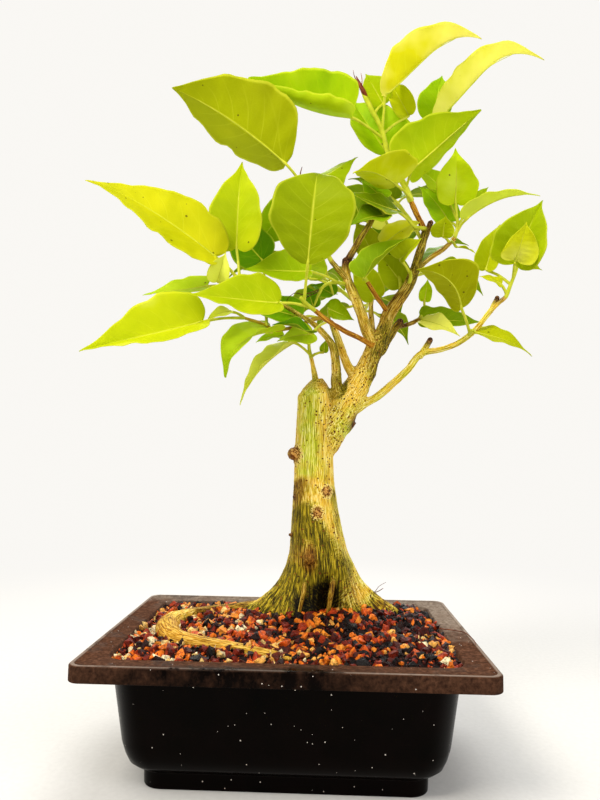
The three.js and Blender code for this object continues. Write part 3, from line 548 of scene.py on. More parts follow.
# Crushed brick, laterite, volcanic cinder and a little pumice, wetted: each grain has one body
# colour, from black and maroon through brick red to orange and cream, and a damp sheen. More of
# the pale ones lie to the left, and more of the dark ones to the right and at the back.
def crushedGrit():
    material, node = newMaterial("crushed brick and cinder grit")
    place = node("TexCoord").outputs["Object"]
    drawn = node("Attribute", attribute_name="grainTint").outputs["Fac"]
    patch = node("TexNoise", {"Vector": place, "Scale": 16, "Detail": 1})
    shift = node("MapRange", {0: patch, 1: 0.35, 2: 0.65, 3: -0.12, 4: 0.12})
    spot = node("SeparateXYZ", {0: place})
    sideways = node("MapRange", {0: spot.outputs["X"], 1: -0.13, 2: 0.06, 3: 0.14, 4: -0.07})
    deeper = node("MapRange", {0: spot.outputs["Y"], 1: -0.09, 2: 0.09, 3: 0.01, 4: -0.16})
    shift = node("Math", {0: shift, 1: sideways}, operation="ADD")
    shift = node("Math", {0: shift, 1: deeper}, operation="ADD")
    tint = node("Math", {0: drawn, 1: shift}, operation="ADD", use_clamp=True)
    body = node("ValToRGB", {0: tint}, ramp=gritColours)
    body.color_ramp.interpolation = "CONSTANT"
    grain = node("TexNoise", {"Vector": place, "Scale": 330, "Detail": 5, "Roughness": 0.75})
    shade = node("MapRange", {0: grain, 1: 0.36, 2: 0.6, 3: 0.26, 4: 1.12})
    colour = node("VectorMath", {0: body, "Scale": shade}, operation="SCALE")
    rough = node("MapRange", {0: grain, 1: 0.35, 2: 0.65, 3: 0.22, 4: 0.6})
    bumps = node("Bump", {"Height": grain, "Strength": 0.9, "Distance": 0.0012})
    skin = node("BsdfPrincipled", {
        "Base Color": colour, "Roughness": rough, "Normal": bumps, "Specular IOR Level": 0.16})
    node("OutputMaterial", {"Surface": skin})
    return material


# Everything woody. The trunk by height: level, centre x, core radius, reach of the root flare and
# depth of the hollow at its front. Lobes and the hollow are given by compass angle and spread, the
# lobes with their share of the reach. Knots are x, y, z and radius, and the last is a healed scar.
# Moss and brown are the shares of those bark colours on a limb.

trunk = dict(
    centreY=38, directions=150, levelStep=2.0, hollow=(-75, 26), cutLevel=306, cutSlope=0.12,
    voxel=1.15, thinnest=2.75,
    rows=[
        (84, 24, 34, 20, 20), (96, 25, 34, 38, 23), (104, 26, 33.5, 42, 24), (110, 26, 33, 37, 23.5),
        (117, 25, 31.5, 28, 21), (126, 25, 30, 18, 15), (136, 25, 28.5, 10.5, 8), (147, 25, 27, 6, 2.5),
        (160, 23.5, 25.5, 2.5, 0.5), (178, 21.5, 23.4, 1, 0), (200, 19.3, 21, 0.4, 0),
        (225, 18.2, 18.8, 0, 0), (255, 18, 18, 0, 0), (290, 18, 17.2, 0, 0), (309, 18, 16.4, 0, 0),
        (317, 19, 11.5, 0, 0), (324, 20, 4.5, 0, 0),
    ],
    lobes=[(8, 19, 1.0), (62, 20, 0.7), (122, 20, 0.62), (178, 22, 0.92), (-142, 17, 0.25),
           (-35, 14, 0.36)],
    knots=[(-0.5, 31, 252, 6.6), (30, 24, 218, 4.5), (22, 20, 199, 4.5), (16, 16, 158, 7)],
    buds=[(0.2, 31, 212, 2.1), (-3.4, 31, 177, 1.9), (39, 30, 240, 1.2)],
    bare=["thinBranch", "innerTwig", "orangeTwig"],
    cut=["leftLimbTop", "leftLimb", "rightLimbStub", "longBranchStub", "farStub", "shortLimb"],
    moss=dict(leftLimb=0.46, leftLimbTop=0.5, leftLimbTwig=0.6, rightLimb=0.7, lowLimb=0.55,
              lowLimbTwin=0.4, shortLimb=0.5, middleTwig=0.5, rightTwig=0.4),
    brown=dict(leftLimb=0.55, leftLimbTop=0.8, leftLimbTwig=0.6, rightLimb=0.7, rightLimbStub=0.9,
               lowLimb=0.45, lowLimbTwin=0.3, shortLimb=0.8, shortLimbTwig=0.7, rightTwig=0.6,
               middleTwig=0.5, airRootLeft=0.8, airRootRight=0.9),
)
axisLevels = np.arange(84, 322, trunk["levelStep"])  # where the trunk's axis is sampled for its bark

# each limb as nodes of x, y, z and radius
limbs = {
    "mainLimb": [
        (20, 38, 246, 12), (34, 38, 276, 16), (48, 37, 301, 15), (59, 36, 319, 12),
        (68, 35, 337, 9.6), (74, 34, 352, 9), (78, 34, 364, 8),
    ],
    "leftLimb": [
        (74, 34, 356, 7), (68, 32, 368, 6), (62, 28, 384, 5.3), (56, 26, 399, 5),
        (50, 24, 412, 4.7), (46, 22, 424, 4.4), (46, 20, 436, 3.8),
    ],
    "leftLimbTop": [
        (46, 21, 430, 3.6), (52, 16, 442, 3.2), (61, 12, 457, 2.8), (67, 10, 466, 2.6),
        (73, 9, 479, 2.4),
    ],
    "leftLimbTwig": [(47, 22, 418, 3.2), (39, 17, 425, 2.8), (32, 12, 432, 2.4)],
    "rightLimb": [
        (79, 34, 360, 7.5), (84, 34, 374, 7), (88, 34, 386, 6.6), (96, 34, 399, 6.2),
        (107, 35, 415, 5.6), (113, 36, 431, 5), (117, 36, 445, 4.3), (121, 36, 458, 3.9),
        (124, 36, 470, 3.8),
    ],
    "rightLimbStub": [(124, 36, 466, 3.3), (129, 36, 479, 2.8)],
    "orangeTwig": [(123, 36, 470, 3), (115, 33, 485, 2.7), (109, 31, 498, 2.5)],
    "innerTwig": [(89, 34, 386, 2.6), (76, 22, 400, 2.2), (66, 15, 413, 2)],
    "rightTwig": [(112, 36, 429, 2.8), (127, 40, 443, 2.5), (142, 42, 454, 2.3), (153, 43, 465, 2.2)],
    "middleTwig": [(74, 36, 364, 3), (72, 40, 384, 2.6), (72, 46, 399, 2.3), (74, 52, 412, 2)],
    "shortLimb": [(80, 35, 350, 5), (90, 44, 368, 4.5), (97, 50, 378, 4), (102, 54, 385, 3.4)],
    "shortLimbTwig": [(98, 51, 378, 2.4), (112, 58, 383, 2.2), (122, 62, 389, 2)],
    "lowLimb": [
        (46, 37, 300, 8), (39, 30, 316, 5.5), (38, 25, 328, 4.6), (37, 20, 340, 4.2),
        (33, 14, 354, 3.6), (25, 8, 363, 3), (15, 2, 371, 2.5), (-3, -8, 380, 2.1),
        (-13, -14, 385, 2),
    ],
    "lowLimbTwin": [
        (60, 36, 320, 6), (50, 34, 335, 4.6), (44, 30, 348, 4), (38, 26, 364, 3.6),
        (33, 22, 376, 3),
    ],
    "thinBranch": [
        (76, 32, 353, 2.6), (66, 20, 357, 2.4), (56, 10, 360, 2.3), (40, -8, 364, 2.2),
        (26, -22, 370, 2), (18, -29, 375, 1.9),
    ],
    "longBranch": [
        (50, 38, 291, 6), (66, 38, 301, 4), (77, 38, 307, 3.7), (91, 36, 319, 3.5),
        (106, 33, 333, 3.3), (118, 30, 348, 3.3), (133, 26, 351, 2.7), (147, 22, 355, 2.6),
        (160, 17, 363, 2.5), (171, 12, 375, 2.4), (179, 8, 386, 2.3), (190, 3, 396, 2),
    ],
    "longBranchStub": [(117, 30, 345, 3), (127, 30, 362, 2.6)],
    "farStub": [(178, 8, 384, 2.2), (184, 7, 397, 2)],
    "stubShoot": [(19, 38, 318, 3.4), (16, 36, 336, 2.2), (14, 35, 344, 2)],
    "thorn": [(40, 38, 268, 4), (51, 36, 276, 2.4), (57, 35, 282, 0.5)],
    "airRootLeft": [
        (15, 19, 150, 3.2), (12, 13.5, 138, 2.4), (10.4, 10, 128.7, 2), (7.1, 8, 112.7, 1.6),
        (5, 8, 98, 1.4),
    ],
    "airRootRight": [
        (37, 24, 150, 3.2), (36.7, 18, 138, 2.8), (35, 14, 127, 2.3), (33, 12, 114.9, 1.8),
        (31, 12, 98, 1.5),
    ],
    "surfaceRoot": [
        (-22, 42, 106, 10), (-42, 48, 106, 6), (-60, 49, 105, 4.2), (-80, 41, 104, 4.4),
        (-95, 28, 103, 6), (-104, 8, 102, 8.5), (-104, -16, 101.5, 10), (-95, -38, 101, 9),
        (-75, -52, 101, 7), (-46, -61, 101, 5.6), (-20, -69, 100, 4.4), (3, -77, 99, 3),
    ],
}


def bump(direction, centre, spread):
    away = abs(direction - centre) % 360
    away = 360 - away if away > 180 else away
    return math.exp(-(away / spread) ** 2)


def lobesAt(direction):
    return sum(share * bump(direction, at, spread) for at, spread, share in trunk["lobes"])


def trunkAt(level):  # centre x, core, reach and hollow, eased between the rows
    rows = np.array(trunk["rows"], float)
    return [np.interp([level - 3, level, level + 3], rows[:, 0], rows[:, k]).dot((0.25, 0.5, 0.25))
            for k in range(1, 5)]


def trunkColumn():
    levels = np.arange(trunk["rows"][0][0], trunk["rows"][-1][0] + 0.1, trunk["levelStep"])
    points = []
    for level in levels:
        centreX, core, reach, hollow = trunkAt(level)
        for i in range(trunk["directions"]):
            direction = 360 * i / trunk["directions"]
            angle = math.radians(direction)
            dent = hollow * bump(direction, *trunk["hollow"])
            radius = core + 0.35 * math.sin(5 * angle + level * 0.07) + reach * lobesAt(direction) - dent
            spot = Vector((3.2 * math.cos(angle), 3.2 * math.sin(angle), level * 0.012))
            radius += (0.7 + 0.05 * reach) * noise.noise(spot)
            if level > trunk["cutLevel"]:
                spot = Vector((math.cos(angle) * 2, math.sin(angle) * 2, level * 0.2))
                radius += 1.2 * noise.noise(spot)
            x = centreX + radius * math.cos(angle)
            z = level + (trunk["cutSlope"] * (x - centreX) if level > trunk["cutLevel"] - 6 else 0)
            points.append((x, trunk["centreY"] + radius * math.sin(angle), z))
    return points, ringFaces(len(levels), trunk["directions"])


def ball(centre, radius, first):
    ring, rings = 18, 9
    points = []
    for i in range(1, rings):
        polar = math.pi * i / rings
        for k in range(ring):
            a = 2 * math.pi * k / ring
            points.append((centre[0] + radius * math.sin(polar) * math.cos(a),
                           centre[1] + radius * math.sin(polar) * math.sin(a),
                           centre[2] - radius * math.cos(polar)))
    return points, ringFaces(rings - 1, ring, first)


def woodCoordinates():  # sample points on every limb's axis, with a frame to unroll its bark
    centres, radii, tangents, sides, along, names = [], [], [], [], [], []
    for level in axisLevels:
        centreX, core, reach, _ = trunkAt(level)
        centres.append((centreX, trunk["centreY"], level))
        radii.append(core + 0.5 * reach)
        tangents.append((0, 0, 1))
        sides.append((0, 1, 0))
        along.append(level)
        names.append("column")
    for name, nodes in limbs.items():
        c, r, t, s, a = sampleLimb(nodes, 2.0)
        centres += c.tolist()
        radii += r.tolist()
        tangents += t.tolist()
        sides += s.tolist()
        along += (a + 37.0 * len(names)).tolist()
        names += [name] * len(c)
    return [np.array(v) for v in (centres, radii, tangents, sides, along)] + [names]


def vertexValues(mesh, kind):
    values = np.empty(len(mesh.vertices) * 3)
    mesh.vertices.foreach_get(kind, values)
    return values.reshape(-1, 3)


def dressWood(piece, fibres):  # bark relief, and the attributes that the bark's colours follow
    centres, radii, tangents, sides, along, names = woodCoordinates()
    tree = KDTree(len(centres))
    for i, c in enumerate(centres):
        tree.insert(c, i)
    tree.balance()
    mesh = piece.data
    count = len(mesh.vertices)
    spots, normals = vertexValues(mesh, "co") / mm, vertexValues(mesh, "normal")
    chosen = np.empty(count, int)
    for k, spot in enumerate(spots):
        near = tree.find_n(spot, 10)
        chosen[k] = min(near, key=lambda n: n[2] - radii[n[1]])[1]
        if spot[2] < 300:  # inside the column's own outline
            centreX, core, reach, hollow = trunkAt(spot[2])
            direction = math.degrees(math.atan2(spot[1] - trunk["centreY"], spot[0] - centreX))
            radius = core + reach * lobesAt(direction) - hollow * bump(direction, *trunk["hollow"])
            if math.hypot(spot[0] - centreX, spot[1] - trunk["centreY"]) < radius + 2.2:
                row = round((spot[2] - axisLevels[0]) / trunk["levelStep"])
                chosen[k] = min(max(int(row), 0), len(axisLevels) - 1)
    away = spots - centres[chosen]
    across = np.cross(sides[chosen], tangents[chosen])
    u = (away * across).sum(1)
    v = (away * sides[chosen]).sum(1)
    w = along[chosen] + (away * tangents[chosen]).sum(1)
    name = np.array(names)[chosen]
    onColumn = name == "column"
    level = spots[:, 2]
    stretch = np.maximum(np.hypot(u, v), 1.0)
    # on the flare, more than 20 mm out, the threads run out along the roots
    beyond = np.where(onColumn, np.maximum(stretch / 20, 1), 1)
    u, v, w = u * beyond ** -0.75, v * beyond ** -0.75, w - 20 * (beyond - 1)
    unrolled = np.stack([u, v, w], 1)

    lift = np.zeros(count)
    dead = np.zeros(count)
    for k in range(count):
        spot = Vector((u[k] * 0.55, v[k] * 0.55, w[k] * 0.035))
        lift[k] = noise.noise(spot) * fibres * min(1.0, stretch[k] / 9)
        lift[k] += 0.25 * noise.noise(Vector(spots[k] * 0.35))
    for x, y, z, r in trunk["knots"]:  # a raised collar round a sunken, corky centre
        d = np.linalg.norm(spots - np.array((x, y, z)), axis=1)
        facing = (away * (np.array((x, y, z)) - centres[chosen])).sum(1) > 0
        ring = np.exp(-((d - 1.25 * r) / (0.3 * r)) ** 2) * facing
        lift += 0.9 * ring - 1.1 * np.exp(-(d / (0.95 * r)) ** 4) * facing
    mesh.vertices.foreach_set("co", ((spots + normals * lift[:, None]) * mm).ravel())

    ends = [(limbs[k][-1], 3.5) for k in trunk["cut"]]  # dead wood spreads this far past the end
    ends += [(limbs["thorn"][-1], 7)] + [(bud, 1) for bud in trunk["buds"]]
    for (x, y, z, r), reach in ends:
        d = np.linalg.norm(spots - np.array((x, y, z)), axis=1)
        dead = np.maximum(dead, np.clip(1.7 - d / (r + reach), 0, 1))
    compass = np.degrees(np.arctan2(away[:, 1], away[:, 0]))

    def sector(centre, spread):
        apart = np.abs(compass - centre) % 360
        return np.exp(-(np.minimum(apart, 360 - apart) / spread) ** 2)

    # green is young bark, above 222 mm; moss climbs to 224 mm and lies on the limbs' shaded parts
    wander = np.array([noise.noise(Vector((u[k] * 0.05, v[k] * 0.05, w[k] * 0.02)))
                       for k in range(count)])
    upper = np.clip((level - 222 + 12 * wander) / 7, 0, 1)
    young = np.maximum(sector(-108, 44), 0.8 * sector(75, 50))
    green = np.where(onColumn, upper * young + (1 - upper) * (0.5 + wander), 0.45 + wander)
    green = np.where(name == "mainLimb", 0.3 + 0.6 * wander, green)
    moss = np.clip((224 - level + 14 * wander) / 30, 0, 1) * (0.62 + 1.1 * wander + 0.3 * sector(-95, 50))
    moss = moss + np.clip((150 - level) / 45, 0, 1) * 0.6 - 0.5 * (sector(4, 16) + sector(176, 10))
    moss = np.where(onColumn, np.clip(moss, 0, 1), 0)
    for limb, share in trunk["moss"].items():
        moss = np.where(name == limb, np.clip(share + 0.9 * wander, 0, 1), moss)
    shaded = np.clip((level - 308 + 25 * wander) / 34, 0, 1)
    moss = np.where(name == "mainLimb", shaded * np.clip(0.7 + wander, 0, 1), moss)
    brown = (1 - upper) * np.maximum(0.95 * sector(-142, 38), 0.2 + 1.4 * wander) * onColumn
    for limb, share in trunk["brown"].items():
        brown = np.where(name == limb, share, brown)
    brown = np.where(name == "surfaceRoot", 0.3 + 0.65 * np.clip((spots[:, 1] - 12) / 22, 0, 1), brown)
    brown = np.where(name == "mainLimb", 0.6 * shaded, brown)
    # russet is bark that has lost its skin: thin twigs, the looping root, the cut top and the toes
    russet = np.isin(name, trunk["bare"]).astype(float)
    russet = np.where(name == "surfaceRoot", np.clip((30 - spots[:, 1]) / 60, 0, 0.7), russet)
    russet = np.maximum(russet, 0.35 * np.clip((level - 311) / 5, 0, 1) * onColumn)
    scar = np.exp(-np.linalg.norm((spots - trunk["knots"][3][:3]) / (7, 12, 13), axis=1) ** 4)
    toes = onColumn * np.clip((132 - level) / 16, 0, 1) * sector(-35, 40)
    russet = np.maximum(russet, np.clip(0.2 + 2.2 * wander, 0, 0.8) * toes)
    # deep is painted shade: the hollow, and the clefts between the lobes near the foot
    deep = sector(trunk["hollow"][0] - 4, 38) * np.clip((147 - level) / 16, 0, 1) * onColumn
    for k in np.flatnonzero(onColumn & (level < 134)):
        between = min(max(1.3 - 4 * lobesAt(compass[k]) + 0.8 * wander[k], 0), 1)
        deep[k] = max(deep[k], 0.85 * between * min(max((134 - level[k]) / 14, 0), 1))
    fork = np.exp(-(np.linalg.norm((spots - np.array((36, 26, 282))) / (17, 60, 30), axis=1)) ** 2)
    speckle = np.clip(fork + 0.55 * (name == "mainLimb") + 0.2 * onColumn * (level < 200) + 0.12, 0, 1)
    for x, y, z, r in trunk["knots"][:3]:
        far = np.linalg.norm((spots - np.array((x, y, z))) * (1, 0.5, 1), axis=1) / r
        speckle = np.maximum(speckle, 1.9 * np.exp(-(far / 1.5) ** 6))
    tone = np.stack([np.clip(green, 0, 1), moss, np.clip(dead, 0, 1), russet], 1)
    mark = np.stack([np.clip(brown, 0, 1), np.clip(deep * 1.5, 0, 1), speckle, scar], 1)
    for label, kind, values in (("barkTone", "FLOAT_COLOR", tone), ("barkMark", "FLOAT_COLOR", mark),
                                ("barkPlace", "FLOAT_VECTOR", unrolled * mm)):
        layer = mesh.attributes.new(label, kind, "POINT")
        layer.data.foreach_set("color" if kind == "FLOAT_COLOR" else "vector",
                               values.astype(np.float32).ravel())
    mesh.polygons.foreach_set("use_smooth", [True] * len(mesh.polygons))
    mesh.update()


def makeWood():
    bark = figBark()
    points, faces = trunkColumn()
    thin = []
    for index, (name, nodes) in enumerate(limbs.items()):
        if min(n[3] for n in nodes) < trunk["thinnest"] and name not in ("lowLimb", "surfaceRoot"):
            thin.append((name, nodes))
            if max(n[3] for n in nodes) < 4:
                continue
        more, sides = tube(nodes, 3.0, 20, len(points), rough=0.16, seed=index * 3.7)
        points, faces = points + more, faces + sides
    for x, y, z, r in trunk["knots"] + trunk["buds"]:
        more, sides = ball((x, y, z), r, len(points))
        points, faces = points + more, faces + sides
    thick = meshObject("barkTrunk", points, faces, [bark])
    skin = thick.modifiers.new("one skin", "REMESH")
    skin.mode, skin.voxel_size, skin.use_smooth_shade = "VOXEL", trunk["voxel"] * mm, True
    ease = thick.modifiers.new("ease", "SMOOTH")
    ease.factor, ease.iterations = 0.5, 5
    bake(thick)
    dressWood(thick, 0.55)
    keep(thick, "bark", "trunk")

    points, faces = [], []
    for index, (name, nodes) in enumerate(thin):
        if max(n[3] for n in nodes) >= 4:
            nodes = [n for n in nodes if n[3] < 4.6]
        more, sides = tube(nodes, 2.0, 14, len(points), rough=0.2, seed=index * 5.1)
        points, faces = points + more, faces + sides
    twigs = meshObject("barkTwigs", points, faces, [bark])
    dressWood(twigs, 0.2)
    keep(twigs, "bark")


barkColours = dict(
    tan=[(0.37, "#a87212"), (0.46, "#e6b42e"), (0.54, "#f8d04a"), (0.64, "#fff0a4")],
    leafy=[(0.37, "#848810"), (0.46, "#b8bc22"), (0.54, "#e2e044"), (0.64, "#fefaa2")],
    mossy=[(0.38, "#282404"), (0.46, "#524808"), (0.54, "#88780a"), (0.63, "#c8ae2a")],
    umber=[(0.38, "#382006"), (0.46, "#6c480c"), (0.54, "#a07a1a"), (0.64, "#d6b44a")],
    ochre=[(0.38, "#602e06"), (0.5, "#aa6a0e"), (0.63, "#e0ac34")],
    rust=[(0.38, "#240b02"), (0.5, "#622c06"), (0.63, "#a86c1c")],
    cork=[(0.38, "#100603"), (0.5, "#452610"), (0.66, "#966636")],
    knot=[(0.06, "#7a3c10"), (0.14, "#c08238"), (0.26, "#e2b260"), (0.34, "#a86a28"), (0.4, "#421a06"),
          (0.45, "#8a5a18"), (0.51, "#e6c058"), (0.62, "#f6dc84")],
    # damp is the near-black of painted shade, for the hollow and the clefts between the lobes
    lenticels=("#2a1206", "#8a4e16"), damp="#090803",
)


# Fig bark: thin and smooth, golden where the sun reaches it and green where it is young, split into
# fine lengthwise threads about 0.8 mm wide, dotted with dark corky lenticels of 0.7 to 2 mm. Moss darkens
# the foot, painted shade blackens the hollow and the clefts between its lobes, cut ends are brown and
# rough, and each knot is corky inside a pale collar.
def figBark():
    material, node = newMaterial("fig bark")
    place = node("Attribute", attribute_name="barkPlace").outputs["Vector"]
    tone = node("Attribute", attribute_name="barkTone")
    zones = node("SeparateColor", {0: tone.outputs["Color"]})
    green, moss, dead = zones.outputs["Red"], zones.outputs["Green"], zones.outputs["Blue"]
    given = node("Attribute", attribute_name="barkMark")
    marks = node("SeparateColor", {0: given.outputs["Color"]})
    brown, deep, speckle = marks.outputs["Red"], marks.outputs["Green"], marks.outputs["Blue"]
    stretched = node("Mapping", {"Vector": place, "Scale": (1300, 1300, 58)})
    thread = node("TexNoise", {
        "Vector": stretched, "Scale": 1, "Detail": 3, "Roughness": 0.6, "Distortion": 0.9})
    wide = node("TexNoise", {"Vector": place, "Scale": 70, "Detail": 5, "Roughness": 0.6})
    grit = node("TexNoise", {"Vector": place, "Scale": 620, "Detail": 3, "Roughness": 0.6})
    tan, leafy, mossy, umber, ochre, rust = [
        node("ValToRGB", {0: thread}, ramp=barkColours[name])
        for name in ("tan", "leafy", "mossy", "umber", "ochre", "rust")]
    cork = node("ValToRGB", {0: grit}, ramp=barkColours["cork"])
    patchy = node("MapRange", {0: wide, 1: 0.35, 2: 0.65, 3: -0.3, 4: 0.3})
    gritty = node("MapRange", {0: grit, 1: 0.4, 2: 0.6, 3: -0.5, 4: 0.5})
    greener = node("Math", {0: green, 1: patchy}, operation="ADD", use_clamp=True)
    browner = node("Math", {0: patchy, 1: brown}, operation="ADD", use_clamp=True)
    browner = node("Math", {0: browner, 1: brown}, operation="MULTIPLY")
    browner = node("Math", {0: browner, 1: 1.5}, operation="MULTIPLY", use_clamp=True)
    mottled = node("Math", {0: patchy, 1: gritty}, operation="ADD")
    damp = node("Math", {0: mottled, 1: 0.6, 2: moss}, operation="MULTIPLY_ADD")
    damped = node("Math", {0: damp, 1: moss}, operation="MULTIPLY")
    damped = node("Math", {0: damped, 1: 1.6}, operation="MULTIPLY", use_clamp=True)
    living = node("Mix", {0: greener, 6: tan, 7: leafy}, data_type="RGBA")
    aged = node("Mix", {0: browner, 6: living, 7: umber}, data_type="RGBA")
    shaded = node("Mix", {0: damped, 6: aged, 7: mossy}, data_type="RGBA")
    ruddy = node("Mix", {0: tone.outputs["Alpha"], 6: shaded, 7: ochre}, data_type="RGBA")
    rubbed = node("Math", {0: given.outputs["Alpha"], 1: 0.9}, operation="MULTIPLY")
    ruddy = node("Mix", {0: rubbed, 6: ruddy, 7: rust}, data_type="RGBA")
    bent = node("VectorMath", {0: grit.outputs["Color"], "Scale": 0.0011}, operation="SCALE")
    bent = node("VectorMath", {0: bent, 1: place}, operation="ADD")
    dots, drawn = dotsIn(node, bent, 480, 0.16, 0.46)
    share = node("Math", {0: speckle, 1: 0.7}, operation="MULTIPLY")
    chosen = node("Math", {0: drawn, 1: share}, operation="LESS_THAN")
    lenticel = node("Math", {0: dots, 1: chosen}, operation="MULTIPLY")
    darker, paler = [linear(code) for code in barkColours["lenticels"]]
    corky = node("Mix", {0: drawn.outputs["Blue"], 6: darker, 7: paler}, data_type="RGBA")
    spot = node("TexCoord").outputs["Object"]
    rings = None
    for x, y, z, r in trunk["knots"][:3]:
        near = node("VectorMath", {0: spot, 1: (x * mm, y * mm, z * mm)}, operation="SUBTRACT")
        near = node("VectorMath", {
            0: near, 1: (1 / (r * mm), 0.5 / (r * mm), 0.9 / (r * mm))}, operation="MULTIPLY")
        far = node("VectorMath", {0: near}, operation="LENGTH").outputs["Value"]
        rings = far if rings is None else node("Math", {0: rings, 1: far}, operation="MINIMUM")
    rings = node("Math", {0: gritty, 1: 0.42, 2: rings}, operation="MULTIPLY_ADD")
    outward = node("Math", {0: rings, 1: 0.5}, operation="MULTIPLY")
    knot = node("ValToRGB", {0: outward}, ramp=barkColours["knot"])
    ringed = node("MapRange", {0: rings, 1: 1.28, 2: 1.42, 3: 1.0, 4: 0.0})
    healed = node("Mix", {0: ringed, 6: ruddy, 7: knot}, data_type="RGBA")
    dotted = node("Mix", {0: lenticel, 6: healed, 7: corky}, data_type="RGBA")
    worn = node("Mix", {0: dead, 6: dotted, 7: cork}, data_type="RGBA")
    # painted shade: the hollow and the clefts go near black, broken up by grit
    paintedShade = node("Math", {0: gritty, 1: 0.35, 2: deep}, operation="MULTIPLY_ADD", use_clamp=True)
    paintedShade = node("Math", {0: paintedShade, 1: deep}, operation="MULTIPLY")
    colour = node("Mix", {0: paintedShade, 6: worn, 7: linear(barkColours["damp"])}, data_type="RGBA")
    relief = node("Math", {0: thread, 1: lenticel}, operation="ADD")
    bumps = node("Bump", {"Height": relief, "Strength": 0.6, "Distance": 0.0009})
    skin = node("BsdfPrincipled", {
        "Base Color": colour, "Roughness": 0.55, "Normal": bumps, "Specular IOR Level": 0.1})
    node("OutputMaterial", {"Surface": skin})
    return material


# The crown. Outlines of a leaf, base to drip tip: where a vein leaves the midrib, where it meets
# the margin, and the margin's share of the half width.

outlines = dict(
    heart=[
        (0, 0, 0), (0, -0.035, 0.18), (0, -0.05, 0.36), (0.03, -0.03, 0.64), (0.08, 0.03, 0.86),
        (0.15, 0.13, 0.97), (0.22, 0.22, 1), (0.3, 0.32, 0.98), (0.38, 0.42, 0.9), (0.46, 0.52, 0.78),
        (0.54, 0.61, 0.62), (0.63, 0.7, 0.44), (0.72, 0.79, 0.26), (0.82, 0.87, 0.13), (0.92, 0.94, 0.055),
        (1, 1, 0.012),
    ],
    slender=[
        (0, 0, 0), (0, -0.02, 0.12), (0, -0.02, 0.24), (0.04, 0.01, 0.42), (0.08, 0.05, 0.55),
        (0.15, 0.13, 0.73), (0.22, 0.22, 0.86), (0.3, 0.32, 0.96), (0.38, 0.42, 1), (0.46, 0.52, 0.94),
        (0.54, 0.61, 0.84), (0.63, 0.7, 0.69), (0.72, 0.79, 0.5), (0.82, 0.87, 0.28), (0.92, 0.95, 0.1),
        (1, 1, 0.012),
    ],
    broad=[
        (0, 0, 0), (0, 0, 0.07), (0, 0, 0.14), (0.04, 0.03, 0.3), (0.08, 0.06, 0.44),
        (0.15, 0.13, 0.63), (0.22, 0.22, 0.8), (0.3, 0.32, 0.93), (0.38, 0.42, 1), (0.47, 0.53, 0.99),
        (0.56, 0.64, 0.92), (0.67, 0.74, 0.72), (0.78, 0.84, 0.46), (0.86, 0.9, 0.25), (0.93, 0.955, 0.1),
        (1, 1, 0.012),
    ],
)

# every leaf: its mesh, blade and stalk
leafBlade = dict(rows=40, columns=13, thickness=0.4, veinPairs=8, wave=1.6, frill=0.9, frillSpan=13.0,
                 scallop=0.03, stalk=1.25, stalkSag=1.5, midribSink=0.12)
# what a leaf has where it gives nothing else: fold in degrees, and shares of its length
plainLeaf = dict(outline="heart", fold=14, arch=0.06, curl=0.05, bend=0, full=1, frill=1, specks=0.08,
                 skew=((0, 1), (1, 1)), roll=(0, 0))
# shoots of young leaves, then of older ones; the rest are leaf_deep
limeShoots = ["spray_left", "spray_centre", "spray_upper_left", "spray_top", "spray_right_far",
              "spray_stub"]
oliveShoots = ["spray_right_mid", "spray_right_up", "spray_right_node"]
